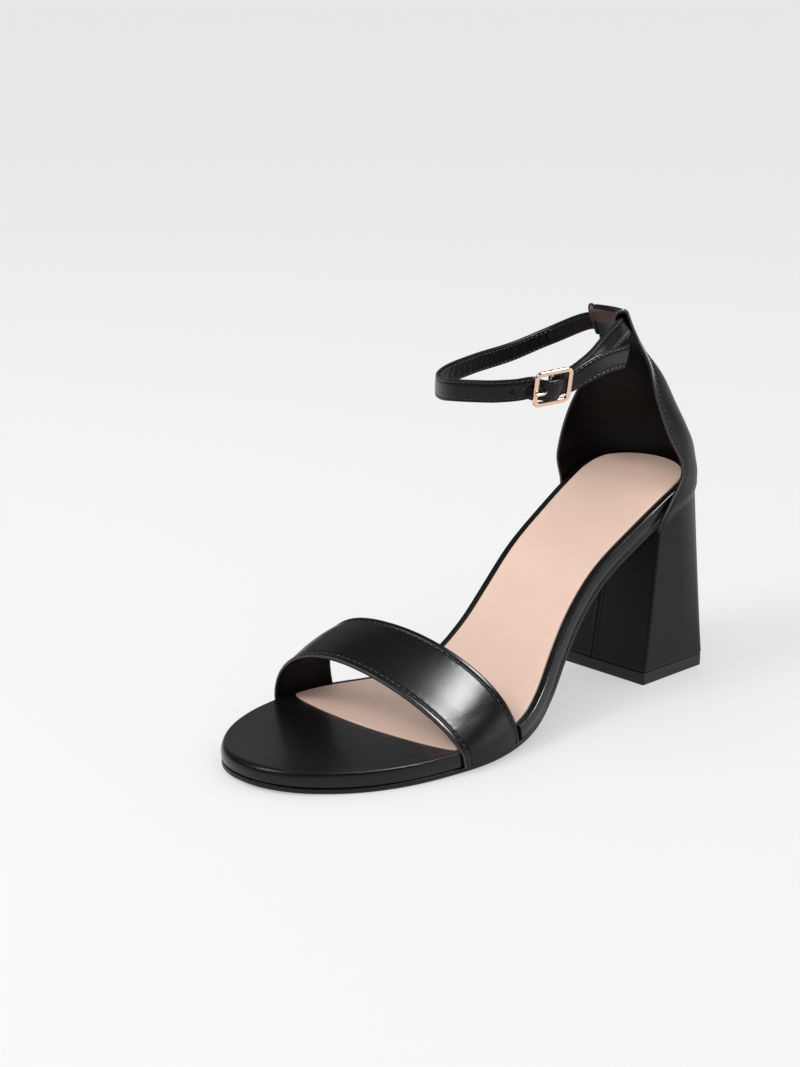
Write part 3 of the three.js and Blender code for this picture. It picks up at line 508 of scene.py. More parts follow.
# ---------------------------------------------------------------- toe strap
def toe_strap_face(a, b):
    """The band between its two edge arches. Each arch: z rises by sin(angle)^full and x swings over by
    cos(angle)^side; the ends stand upright down to the outsole."""
    a, b = np.broadcast_arrays(np.asarray(a, float), np.asarray(b, float))
    mix = {k: lerp(TOE_STRAP_FRONT[k], TOE_STRAP_BACK[k], a) for k in TOE_STRAP_FRONT}
    grow = CLEAR + TOE_STRAP_THICK
    upright = 0.06
    angle = np.clip((b - upright) / (1 - 2 * upright), 0, 1) * np.pi
    out, along = np.sin(angle), np.cos(angle)
    outer_s, inner_s = mix["outer"] * SOLE_LENGTH, mix["inner"] * SOLE_LENGTH
    outer_x = centre_at(outer_s) + half_at(outer_s) + grow - mix["sink"] * TOE_STRAP_THICK
    inner_x = centre_at(inner_s) - half_at(inner_s) - grow
    z = ARCH_START + mix["rise"] * TOE_STRAP_RISE * np.abs(out)**mix["full"]
    for near, end_s, up in ((b < upright, outer_s, b), (b > 1 - upright, inner_s, 1 - b)):
        z = np.where(near, lerp(top_at(end_s) - FOOTBED_THICK, ARCH_START, up / upright), z)
    x = (outer_x + inner_x) / 2 + (outer_x - inner_x) / 2 * np.sign(along) * np.abs(along)**mix["side"]
    x = x - TOE_STRAP_SKEW * out * out
    lean = math.tan(math.radians(TOE_STRAP_LEAN))
    s = lerp(outer_s, inner_s, (1 - along) / 2) + lean * (z - ARCH_START)
    return stack(x, -s, z)


# ---------------------------------------------------------------- heel counter
counter_column = {name: natural_spline(COUNTER_LEVEL, values) for name, values in COUNTER.items()}


def round_seat(angle, grow):
    quarter = np.clip(angle, -np.pi / 2, np.pi / 2)
    past = np.abs(angle) - np.abs(quarter)
    s = SEAT_ROUND * (1 - np.cos(quarter)) + SEAT_ROUND * past
    x = centre_at(s) + (half_at(s) + grow) * np.sin(quarter)
    return x, s - grow * np.cos(quarter)


def counter_wall(a, up):
    """The wall's outer face: at each level an upright U, half an ellipse with straight legs; close to
    the seat it follows the sole's own outline."""
    a, up = np.broadcast_arrays(np.asarray(a, float), np.asarray(up, float))
    c = {name: curve(up) for name, curve in counter_column.items()}
    angle = lerp(-c["inner"], c["outer"], a) * np.pi / 2
    quarter = np.clip(angle, -np.pi / 2, np.pi / 2)
    past = np.abs(angle) - np.abs(quarter)
    deep = c["deep"] * SEAT_WIDTH
    x = c["centre"] * SEAT_WIDTH + c["wide"] * SEAT_WIDTH * np.sin(quarter)
    s = c["back"] * COUNTER_RISE + deep * (1 - np.cos(quarter)) + deep * past
    seat_x, seat_s = round_seat(angle, 2 * CLEAR + COUNTER_THICK)
    free = ease(np.clip((up - 0.07) / 0.11, 0, 1))
    place = np.maximum(0, seat_s)
    drop = on_sole(0, place, -SOLE_THICK - wedge_at(place))[..., 2] - COUNTER_BASE
    z = COUNTER_BASE + COUNTER_RISE * up + drop * (1 - up)**4
    held = seat_s - (z - top_at(place)) * slope_at(place) * square_at(place)
    return stack(lerp(seat_x, x, free), -lerp(held, s, free), z)


def tab_frame(a):
    top = counter_wall(a, 1.0)
    rise = unit(top - counter_wall(a, 0.97))
    across = unit(counter_wall(np.asarray(a) + 0.03, 1.0) - counter_wall(np.asarray(a) - 0.03, 1.0))
    return top, rise, unit(np.cross(across, rise))


def counter_face(a, b):
    """The wall, then half a turn forward over the ankle strap, then the flap down inside."""
    a, b = np.broadcast_arrays(np.asarray(a, float), np.asarray(b, float))
    wall = counter_wall(a, np.minimum(b, WALL_PART) / WALL_PART)
    top, rise, inward = tab_frame(a)
    turn = np.clip((b - WALL_PART) / (FOLD_PART - WALL_PART), 0, 1) * np.pi
    drop = np.maximum(0, (b - FOLD_PART) / (1 - FOLD_PART))
    depth = FOLD * (1 - np.cos(turn)) - (2 * TUNNEL - CLEAR) * ease(np.clip(drop * 4 - 3, 0, 1))
    fold = top + inward * depth[..., None] + rise * (FOLD * np.sin(turn) - FLAP_DROP * drop)[..., None]
    return np.where((b <= WALL_PART)[..., None], wall, fold)


def counter_outside(a, b):
    """The counter from its outer wing's edge to its inner wing's, so that its normal points out."""
    return counter_face(1 - a, b)


# ---------------------------------------------------------------- ankle strap and buckle
BUCKLE_CENTRE = np.array([BUCKLE_SIDE, -BUCKLE_PLACE, LOOP_FRONT_HEIGHT + 2.8])
BUCKLE_ALONG = turned(turned(np.array([0, 1.0, 0]), np.array([1.0, 0, 0]), BUCKLE_RISE),
                      np.array([0, 0, 1.0]), -BUCKLE_TURN)
BUCKLE_OUT = turned(unit(np.array([BUCKLE_ALONG[1], -BUCKLE_ALONG[0], 0])), BUCKLE_ALONG, BUCKLE_LEAN)
BUCKLE_UP = unit(np.cross(BUCKLE_OUT, BUCKLE_ALONG))
FRAME_OFFSET = ANKLE_STRAP_THICK / 2 + CLEAR + BUCKLE_THICK / 2 + 0.3
BAR_OFFSET = FRAME_OFFSET - BUCKLE_THICK / 2 - 0.3
HUMP = BAR_OFFSET + CENTRE_BAR / 2 + CLEAR + ANKLE_STRAP_THICK / 2
BAR_HALF = BUCKLE_LENGTH / 2 - BUCKLE_BAR / 2


def at_buckle(along, up, out):
    """A point in the buckle's own axes."""
    along, up, out = np.broadcast_arrays(*(np.asarray(v, float) for v in (along, up, out)))
    return BUCKLE_CENTRE + along[..., None] * BUCKLE_ALONG + up[..., None] * BUCKLE_UP \
        + out[..., None] * BUCKLE_OUT


def loop_stop(ahead, aside, lift, lean):
    place = TUNNEL_PLACE + ahead * LOOP_LENGTH
    return np.array([aside * LOOP_WIDTH, -place, LOOP_FRONT_HEIGHT + lift * ANKLE_STRAP_WIDTH]), lean


def tunnel_stop(a):
    top, rise, inward = tab_frame(a)
    at = top - rise * (ANKLE_STRAP_WIDTH / 2 + 2.5 * CLEAR) + inward * FOLD
    return at, math.degrees(math.acos(rise[2]))


def buckle_stop(along, out):
    return at_buckle(along, 0, out), -BUCKLE_LEAN


STOPS = [loop_stop(*row) for row in TIP_END]
STOPS += [buckle_stop(*row) for row in (
    (BAR_HALF + 1.4, 0), (BAR_HALF - 0.5, 0), (BAR_HALF * 0.66, HUMP * 0.24),
    (BAR_HALF * 0.36, HUMP * 0.82), (0, HUMP), (-BAR_HALF * 0.36, HUMP * 0.82),
    (-BAR_HALF * 0.66, HUMP * 0.24), (0.5 - BAR_HALF, 0))]
STOPS += [loop_stop(*row) for row in LOOP]
STOPS += [tunnel_stop(a) for a in (-0.1, 0.2, 0.5, 0.8, 0.97, 1.15)]
STOPS += [loop_stop(*row) for row in SHORT_END]
STOPS += [buckle_stop(9.5, -3.3), buckle_stop(4.8, -2.25),
          buckle_stop(0.2, BAR_OFFSET - CENTRE_BAR / 2 - CLEAR - ANKLE_STRAP_THICK / 2)]


def centripetal(points, per=80):
    """Catmull-Rom curve through the points whose steps count as the square root of their length.
    Returns points and their places counted in stops."""
    p = np.asarray(points, float)
    p = np.concatenate([[2 * p[0] - p[1]], p, [2 * p[-1] - p[-2]]])
    step = np.sqrt(np.linalg.norm(np.diff(p, axis=0), axis=1))
    line, place = [], []
    for i in range(1, len(p) - 2):
        d0, d1, d2 = step[i - 1:i + 2]
        m1 = ((p[i] - p[i - 1]) / d0 - (p[i + 1] - p[i - 1]) / (d0 + d1) + (p[i + 1] - p[i]) / d1) * d1
        m2 = ((p[i + 1] - p[i]) / d1 - (p[i + 2] - p[i]) / (d1 + d2) + (p[i + 2] - p[i + 1]) / d2) * d1
        t = np.linspace(0, 1, per, endpoint=i == len(p) - 3)[:, None]
        line.append(p[i] + m1 * t + (3 * (p[i + 1] - p[i]) - 2 * m1 - m2) * t**2
                    + (2 * (p[i] - p[i + 1]) + m1 + m2) * t**3)
        place.append(i - 1 + t[:, 0])
    return np.concatenate(line), np.concatenate(place)


STRAP_LINE, STRAP_PLACE = centripetal([stop[0] for stop in STOPS])
STRAP_RUN = np.concatenate([[0], np.cumsum(np.linalg.norm(np.diff(STRAP_LINE, axis=0), axis=1))])
STRAP_LENGTH = STRAP_RUN[-1]
STRAP_TANGENT = unit(np.gradient(STRAP_LINE, STRAP_RUN, axis=0))
STRAP_LEAN = np.interp(STRAP_PLACE, np.arange(len(STOPS)), [stop[1] for stop in STOPS])


def strap_run(stop):
    """Length of the ankle strap from its tip to a stop."""
    return float(np.interp(stop, STRAP_PLACE, STRAP_RUN))


def ankle_strap_face(a, b):
    """The band carried along its middle line: upright, leaned by the stops' angles; the tip is cut
    slanting."""
    a, b = np.broadcast_arrays(np.asarray(a, float), np.asarray(b, float))
    cut = TIP_SLANT / STRAP_LENGTH * (1 - a) * np.maximum(0, 1 - b * 20)
    run = np.clip(b + cut, 0, 1) * STRAP_LENGTH
    at = np.stack([np.interp(run, STRAP_RUN, STRAP_LINE[:, k]) for k in range(3)], -1)
    tangent = unit(np.stack([np.interp(run, STRAP_RUN, STRAP_TANGENT[:, k]) for k in range(3)], -1))
    lean = np.radians(np.interp(run, STRAP_RUN, STRAP_LEAN))[..., None]
    out = unit(stack(-tangent[..., 1], tangent[..., 0], 0 * run))
    up = unit(np.cross(tangent, out))
    up = np.where(up[..., 2:3] < 0, -up, up)
    wide = up * np.cos(lean) - out * np.sin(lean)
    face = unit(np.cross(wide, tangent))
    face = np.where((face * out).sum(-1, keepdims=True) < 0, -face, face)
    return at + wide * (a - 0.5)[..., None] * ANKLE_STRAP_WIDTH + face * ANKLE_STRAP_THICK / 2


def tube(line, radius, sides=16):
    """Round rod along a line of points: its frames are carried by projecting the last normal. radius
    is one number or one for each point."""
    tangent = unit(np.gradient(line, axis=0))
    normal = np.cross(tangent[0], [0.31, 0.52, 0.79])
    frames = []
    for t in tangent:
        normal = unit(normal - t * np.dot(normal, t))
        frames.append(normal)
    normal = np.array(frames)
    side = np.cross(tangent, normal)
    u = np.linspace(0, 2 * np.pi, sides, endpoint=False)
    radius = np.broadcast_to(radius, len(line))[:, None, None]
    return line[:, None] + radius * (normal[:, None] * np.cos(u)[None, :, None]
                                     + side[:, None] * np.sin(u)[None, :, None])


def tube_closed(line, radius, sides=16):
    """A rod whose ends are drawn together in four steps, like a half round."""
    ends = np.sin(np.radians([0, 30, 60, 90]))
    n = len(line)
    size = np.broadcast_to(radius, n).astype(float).copy()
    first, last = line[0] - line[1], line[-1] - line[-2]
    lead = [line[0] + unit(first) * size[0] * c for c in np.cos(np.radians([0, 30, 60]))]
    tail = [line[-1] + unit(last) * size[-1] * c for c in np.cos(np.radians([60, 30, 0]))]
    line = np.concatenate([lead, line, tail])
    size = np.concatenate([size[0] * ends[:3], size, size[-1] * ends[2::-1]])
    return tube(line, np.maximum(size, 1e-6), sides)


# ---------------------------------------------------------------- finishes
def group_nodes(name, inputs, outputs):
    """An empty shader group with float inputs {name: value} and outputs {name: kind}."""
    group = bpy.data.node_groups.new(name, "ShaderNodeTree")
    for key, value in inputs.items():
        socket = group.interface.new_socket(key, in_out="INPUT", socket_type="NodeSocketFloat")
        socket.default_value = value
    for key, kind in outputs.items():
        group.interface.new_socket(key, in_out="OUTPUT", socket_type="NodeSocket" + kind)
    return group, group.nodes.new("NodeGroupInput"), group.nodes.new("NodeGroupOutput")


def add_node(tree, kind, links=(), **settings):
    """A node with its settings and its inputs: a socket to link from, or a value."""
    node = tree.nodes.new("ShaderNode" + kind)
    for key, value in settings.items():
        setattr(node, key, value)
    for key, value in dict(links).items():
        if isinstance(value, bpy.types.NodeSocket):
            tree.links.new(value, node.inputs[key])
        else:
            node.inputs[key].default_value = value
    return node


def maths(tree, operation, a, b=0.0):
    node = add_node(tree, "Math", {0: a, 1: b}, operation=operation)
    return node.outputs[0]


def grain_group():
    """Leather grain: rounded cells of a warped cell pattern as height, with pores between them, and a
    slow tone over the surface."""
    group, source, result = group_nodes("leather_grain", {"Cell": 0.7, "Warp": 0.35, "Wrinkle": 0.3},
                                        {"Height": "Float", "Tone": "Float"})
    place = add_node(group, "TexCoord").outputs["Object"]
    scale = maths(group, "DIVIDE", 1000.0, source.outputs["Cell"])
    warp = add_node(group, "TexNoise", {"Vector": place, "Scale": 900.0, "Detail": 2.0})
    shift = add_node(group, "VectorMath", {0: warp.outputs["Color"], 1: (0.5, 0.5, 0.5)},
                     operation="SUBTRACT")
    size = maths(group, "MULTIPLY", source.outputs["Warp"], 0.001)
    shift = add_node(group, "VectorMath", {0: shift.outputs[0], "Scale": size}, operation="SCALE")
    at = add_node(group, "VectorMath", {0: place, 1: shift.outputs[0]}, operation="ADD")
    cells = add_node(group, "TexVoronoi", {"Vector": at.outputs[0], "Scale": scale},
                     feature="DISTANCE_TO_EDGE")
    rounded = add_node(group, "MapRange", {"Value": cells.outputs["Distance"], "From Min": 0.0,
                                           "From Max": 0.22})
    wrinkle = add_node(group, "TexNoise", {"Vector": at.outputs[0], "Scale": 420.0, "Detail": 4.0,
                                           "Roughness": 0.6})
    folds = maths(group, "MULTIPLY", wrinkle.outputs["Fac"], source.outputs["Wrinkle"])
    tone = add_node(group, "TexNoise", {"Vector": place, "Scale": 55.0, "Detail": 5.0, "Roughness": 0.55})
    group.links.new(maths(group, "ADD", rounded.outputs[0], folds), result.inputs["Height"])
    group.links.new(tone.outputs["Fac"], result.inputs["Tone"])
    return group


def grit_group():
    """Raw fibres and dust: two sizes of noise as height, and specks as a mask."""
    group, source, result = group_nodes("fibre_grit", {"Size": 0.25, "Specks": 0.62},
                                        {"Height": "Float", "Mask": "Float"})
    place = add_node(group, "TexCoord").outputs["Object"]
    scale = maths(group, "DIVIDE", 1000.0, source.outputs["Size"])
    fine = add_node(group, "TexNoise", {"Vector": place, "Scale": scale, "Detail": 3.0, "Roughness": 0.7})
    mask = add_node(group, "MapRange", {"Value": fine.outputs["Fac"], "From Min": source.outputs["Specks"],
                                        "From Max": 0.8})
    group.links.new(fine.outputs["Fac"], result.inputs["Height"])
    group.links.new(mask.outputs[0], result.inputs["Mask"])
    return group


GRAIN = grain_group()
GRIT = grit_group()


# places of a Mix node's two colour inputs and of its colour output
COLOUR_A, COLOUR_B, COLOUR_MIXED = 6, 7, 2


def finish(name, low, high, rough, pattern, out, bump, depth, slow="Tone", **constants):
    """A material: base colour from low to high and roughness over a range, both by the pattern's slow
    mask, and a bump from its height. constants are set on the shader's own sockets."""
    material = bpy.data.materials.new(name)
    material.use_nodes = True
    tree = material.node_tree
    shader = next(n for n in tree.nodes if n.type == "BSDF_PRINCIPLED")
    for key, value in constants.items():
        shader.inputs[key.replace("_", " ")].default_value = value
    node = tree.nodes.new("ShaderNodeGroup")
    node.node_tree = pattern
    for key, value in out.items():
        node.inputs[key].default_value = value
    colour = add_node(tree, "Mix", {"Factor": node.outputs[slow]}, data_type="RGBA")
    colour.inputs[COLOUR_A].default_value = (*low, 1)
    colour.inputs[COLOUR_B].default_value = (*high, 1)
    tree.links.new(colour.outputs[COLOUR_MIXED], shader.inputs["Base Color"])
    gloss = add_node(tree, "MapRange", {"Value": node.outputs[slow], "From Min": 0.25, "From Max": 0.75,
                                        "To Min": rough[0], "To Max": rough[1]})
    tree.links.new(gloss.outputs[0], shader.inputs["Roughness"])
    relief = add_node(tree, "Bump", {"Height": node.outputs["Height"], "Strength": bump, "Distance": depth})
    tree.links.new(relief.outputs[0], shader.inputs["Normal"])
    return material


LEATHER = finish("black_leather_satin", (.0038, .0038, .0041), (.0065, .0064, .0066), (.32, .37), GRAIN,
                 {"Cell": .5, "Warp": .3, "Wrinkle": .3}, .35, .00006,
                 Specular_IOR_Level=.17, Coat_Weight=.03, Coat_Roughness=.28)
WRAP_LEATHER = finish("wrap_leather_satin", (.0042, .0042, .0045), (.007, .0069, .007), (.2, .28),
                      GRAIN, {"Cell": .5, "Warp": .3, "Wrinkle": .25}, .35, .00006,
                      Specular_IOR_Level=.2, Coat_Weight=.2, Coat_Roughness=.14)
# Lighter grey for a strip on the rims of the toe strap's front edge and of the counter's front edges: a
# painted highlight line along these edges, not a colour of the leather.
PAINTED_EDGE_HIGHLIGHT = finish("edge_painted_highlight", (.02, .0195, .0195), (.05, .049, .049), (.35, .45), GRAIN,
                      {"Cell": .5, "Warp": .4, "Wrinkle": .8}, .3, .00005, Specular_IOR_Level=.5)
STRAP_LEATHER = finish("strap_leather_satin", (.0045, .0045, .0048), (.0075, .0073, .0074),
                       (.26, .29), GRAIN, {"Cell": .7, "Warp": .3, "Wrinkle": .1}, .22, .00005,
                       Specular_IOR_Level=.2, Coat_Weight=.03, Coat_Roughness=.25)
LINING = finish("black_lining", (.0032, .0028, .0026), (.006, .0049, .0046), (.34, .46), GRAIN,
                {"Cell": .9, "Warp": .6, "Wrinkle": 1.0}, .4, .00008, Specular_IOR_Level=.14)
SUEDE_BACK = finish("brown_leather_back", (.045, .024, .02), (.09, .05, .042), (.6, .75), GRIT,
                    {"Size": .3, "Specks": .5}, .5, .0001, slow="Mask", Specular_IOR_Level=.3)
EDGE = finish("raw_edge", (.012, .011, .011), (.09, .075, .07), (.6, .8), GRIT,
              {"Size": .22, "Specks": .55}, .6, .00012, slow="Mask", Specular_IOR_Level=.35)
SOCK = finish("nude_sock_leather", (.79, .545, .435), (.87, .625, .51), (.5, .62), GRAIN,
              {"Cell": .5, "Warp": .3, "Wrinkle": .6}, .18, .00005, Specular_IOR_Level=.35,
              Sheen_Weight=.08, Sheen_Roughness=.5)
RUBBER = finish("outsole_rubber", (.005, .005, .0052), (.008, .008, .008), (.33, .45), GRIT,
                {"Size": .35, "Specks": .5}, .25, .00005, slow="Height", Specular_IOR_Level=.28)
TREAD = finish("top_piece_rubber", (.005, .005, .005), (.008, .008, .008), (.42, .55), GRIT,
               {"Size": .3, "Specks": .5}, .4, .00007, slow="Height", Specular_IOR_Level=.4)
THREAD = finish("black_thread", (.012, .012, .0125), (.03, .03, .031), (.38, .5), GRIT,
                {"Size": .12, "Specks": .45}, .5, .00005, slow="Height", Specular_IOR_Level=.55)
GOLD = finish("rose_gold_plate", (.78, .53, .39), (.85, .60, .46), (.12, .22), GRIT,
              {"Size": .5, "Specks": .5}, .05, .00002, slow="Height", Metallic=1.0)

# ---------------------------------------------------------------- sole layers
AROUND = np.linspace(0, 2 * np.pi, 400, endpoint=False)
FOOTBED_PLAN = dict(start=0.0, end=SOLE_LENGTH, back_round=SEAT_ROUND, toe_round=TOE_ROUND,
                    toe_power=TOE_POWER)
OUTSOLE_PLAN = dict(start=CLEAR, end=SOLE_LENGTH - CLEAR, back_round=SEAT_ROUND - CLEAR,
                    toe_round=TOE_ROUND, toe_power=TOE_POWER)


def sock_plan(margin):
    return dict(start=margin, end=SOCK_LENGTH + SOCK_MARGIN - margin, back_round=SEAT_ROUND - margin,
                toe_round=SOCK_FRONT_ROUND, toe_power=SOCK_FRONT_POWER)


def sock_outline(turn, margin):
    """The sock's outline: near the front its inner side is filled out, and its front edge slants, so
    that it is further forward at the inner side."""
    x, s = outline(turn, inset=margin, swing=SOCK_SWING, **sock_plan(margin))
    late = ramp(s, SOCK_LENGTH - SOCK_FRONT_RUN, SOCK_LENGTH)
    fill = np.where(np.sin(turn) < 0, 1 + 2 * SOCK_INNER_FILL / BALL_WIDTH * late, 1)
    aside = (x - centre_at(s)) * fill
    return centre_at(s) + aside, s - SOCK_SLANT * aside * late


def outsole():
    """Slab under the whole sole: a rounded lower edge, a side that bows out a little and a crisp upper
    edge."""
    edge = outline(AROUND, inset=CLEAR, **OUTSOLE_PLAN)
    top = -FOOTBED_THICK - CLEAR
    low = top - OUTSOLE_THICK
    rings = [(inset, low, 1) for inset in (None, 20, 13, 8, 4, 2)]
    rings += corner(0, low + .7, .7, -90, 0, 6, 1)
    rings += [(-.04, (low + top) / 2, .5)]
    rings += corner(0, top - .22, .22, 0, 90, 4)
    rings += [(inset, top, 0) for inset in (1, 4, 10, 18, None)]
    rows = layer_rows(edge, spine_for(edge[1], OUTSOLE_PLAN), rings)
    return Piece("outsole_sheet").grid(rows).make([RUBBER], "outsole_rubber", ["outsole"])


def footbed():
    """Leather wrapped round the board: square below, a padded side, a rolled rim and a flat border up
    to the pocket of the sock. Where the toe strap goes down its side is pressed in."""
    front, back = TOE_STRAP_FRONT["outer"] * SOLE_LENGTH, TOE_STRAP_BACK["outer"] * SOLE_LENGTH
    close = np.concatenate([np.arange(back - .3, back + 1.2, .12),
                            np.arange(front - .9, front + .5, .12)])
    turn = np.sort(np.concatenate([AROUND, np.arccos(1 - 2 * close / SOLE_LENGTH)]))
    x, s = outline(turn, **FOOTBED_PLAN)
    outer = np.where(np.sin(turn) >= 0, 1, 0)
    depth = TOE_STRAP_THICK * lerp(TOE_STRAP_FRONT["sink"], TOE_STRAP_BACK["sink"],
                                   np.clip((front - s) / (front - back), 0, 1))
    press = outer * (depth + .1) * ramp(s, back + .1, back + .5) * (1 - ramp(s, front - .5, front + .1))
    x = x - press
    margin = SOCK_MARGIN - CLEAR
    plan = sock_plan(margin)
    reach = np.where(s < 130, lerp(margin, 130, s / 130),
                     lerp(130, plan["end"], (s - 130) / (SOLE_LENGTH - 130)))
    share = np.clip((reach - plan["start"]) / (plan["end"] - plan["start"]), 0, 1)
    inner_turn = np.arccos(1 - 2 * share)
    inner_turn = np.where(np.sin(turn) >= 0, inner_turn, 2 * np.pi - inner_turn)
    sock_x, sock_s = sock_outline(inner_turn, margin)
    spine_x, spine_s = spine_for(s, FOOTBED_PLAN)
    rim, foot = lerp(.8, 2.4, ramp(s, 140, 185)), .8
    low = -FOOTBED_THICK
    rings = [(inset, low, 0) for inset in (None, 20, 13, 8, 4, 2)]
    rings += corner(.15, low + foot, foot, -90, 0, 5)
    rings += [(.02, -3.6, 0), (-.05, -3.2, 0), (-.04, -2.8, 0)]
    side = layer_rows((x, s), (spine_x, spine_s), rings)
    gap = np.hypot(sock_x - x, sock_s - s)
    border = []
    for turn_up in np.radians(np.linspace(8, 90, 8)):
        border.append((rim * (1 - math.cos(turn_up)), rim * (math.sin(turn_up) - 1)))
    border += [(rim + .4, 0 * s), (rim + .8, -.02 + 0 * s)]
    rows = []
    for inset, h in border:
        flat = np.minimum(.9, inset * (1 - press / 3.6) / gap)
        rows.append(on_sole(lerp(x, sock_x, flat), lerp(s, sock_s, flat), h))
    for step in (.25, .5, .7, .85, .95):
        t = lerp(flat, 1, step)
        rows.append(on_sole(lerp(x, sock_x, t), lerp(s, sock_s, t), -.02 - .1 * step**6))
    sx, ss = spine_for(sock_s, plan)
    floor = SOCK_PROUD - SOCK_THICK - CLEAR
    pocket = [(0, -.15), (0, floor + .2)] + [(inset, floor) for inset in (.3, 4, 9, 15, 21, None)]
    for inset, h in pocket:
        away = np.maximum(np.hypot(sx - sock_x, ss - sock_s), 1e-6)
        t = np.ones_like(away) if inset is None else np.minimum(1, inset / away)
        rows.append(on_sole(lerp(sock_x, sx, t), lerp(sock_s, ss, t), h))
    rows = np.concatenate([side, np.stack(rows)])
    return Piece("footbed_wrap").grid(rows).make([WRAP_LEATHER], "black_leather", ["footbed"])


def sock():
    """Thin leather with turned-down edges. Its face swells and dips by a tenth of a millimetre, more
    near its front edge, where the glued leather has little puckers."""
    plan = sock_plan(SOCK_MARGIN)
    x, s = sock_outline(AROUND, SOCK_MARGIN)

    def lift(px, ps, height):
        slow = .10 * np.sin(ps / 17.0 + .6 * np.sin(px / 12.0)) + .06 * np.sin(px / 6.1 + ps / 23.0)
        pucker = .16 * np.sin(px / 2.3 + 1.4 * np.sin(ps / 5.0)) * bell(ps, SOCK_LENGTH - 5, 7)
        return (slow + pucker) * (1 if height > 0 else 0) * ramp(height, 0, .3)

    low = SOCK_PROUD - SOCK_THICK
    rings = [(inset, low, 0) for inset in (None, 18, 12, 6, 2, 0)]
    rings += corner(0, SOCK_PROUD - .45, .45, 0, 90, 6)
    rings += [(d, SOCK_PROUD, 0) for d in (.8, 1.3, 2, 3, 4, 5.2, 6.5, 8, 9.5, 11, 13, 15, 17, 19, 21,
                                           23, None)]
    rows = layer_rows((x, s), spine_for(s, plan), rings, lift)
    return Piece("sock_leather").grid(rows).make([SOCK], "nude_sock", ["insole_sock"])


# ---------------------------------------------------------------- heel
def breast_share(t):
    """Share of the half width along the breast: 1 at its corner, 0 at its middle."""
    return 1 - (np.maximum(0, t - SIDE_PART) / (1 - SIDE_PART))**1.5


def heel_top(t, side):
    quarter = np.minimum(1, t / BACK_PART) * np.pi / 2
    forward = np.clip((t - BACK_PART) / (SIDE_PART - BACK_PART), 0, 1)
    s = np.where(t < BACK_PART, lerp(-HEEL_GROW, SEAT_ROUND, 1 - np.cos(quarter)),
                 lerp(SEAT_ROUND, BREAST_TOP, forward))
    grow = lerp(HEEL_GROW, -HEEL_TUCK, ramp(s, 0, BREAST_TOP))
    return centre_at(s) + side * (half_at(s) + grow) * np.sin(quarter) * breast_share(t), s


def under_sole(x, s):
    return on_sole(x, s, -SOLE_THICK - HEEL_GAP - wedge_at(s))


def heel_foot(t, side):
    half, back, front = HEEL_TREAD_WIDTH / 2, HEEL_TREAD_BACK, HEEL_TREAD_BACK + HEEL_TREAD_LENGTH
    wide = half + HEEL_TREAD_SPREAD / 2
    turn, turned_by = BACK_PART * CORNER_FROM, BACK_PART * CORNER_TO
    u = t / turn
    angle = np.clip((t - turn) / (turned_by - turn), 0, 1) * np.pi / 2
    forward = np.clip((t - turned_by) / (SIDE_PART - turned_by), 0, 1)
    x = np.where(t < turn, (wide - HEEL_CORNER) * u, wide - HEEL_CORNER * (1 - np.sin(angle)))
    s = np.where(t < turn, back - HEEL_BOW * (1 - u * u), back + HEEL_CORNER * (1 - np.cos(angle)))
    x = np.where(t > turned_by, lerp(wide, half, forward), x)
    s = np.where(t > turned_by, lerp(back + HEEL_CORNER, front, forward), s)
    x = np.where(t > SIDE_PART, half * breast_share(t), x)
    return side * x, s


def soften(rows, radius, columns):
    """Each row resampled by its length and smoothed by a Gaussian of that radius, which rounds its
    corners, then given that many columns."""
    out = []
    for row in rows:
        closed = np.concatenate([row, row[:1]])
        run = np.concatenate([[0], np.cumsum(np.linalg.norm(np.diff(closed, axis=0), axis=1))])
        count = 4 * columns
        at = np.arange(count) * run[-1] / count
        even = np.stack([np.interp(at, run, closed[:, k]) for k in range(3)], -1)
        wave = np.fft.rfftfreq(count, run[-1] / count)
        kernel = np.exp(-2 * (np.pi * wave * radius)**2)[:, None]
        out.append(np.fft.irfft(np.fft.rfft(even, axis=0) * kernel, count, axis=0)[::4])
    return np.stack(out)


def heel_outline(columns=900):
    """Places round the heel: a share from the back's middle (0) to the breast's (1), and the side."""
    u = np.arange(columns) / columns
    side = np.where(u <= .5, 1, -1)
    return np.where(u <= .5, 2 * u, 2 - 2 * u), side


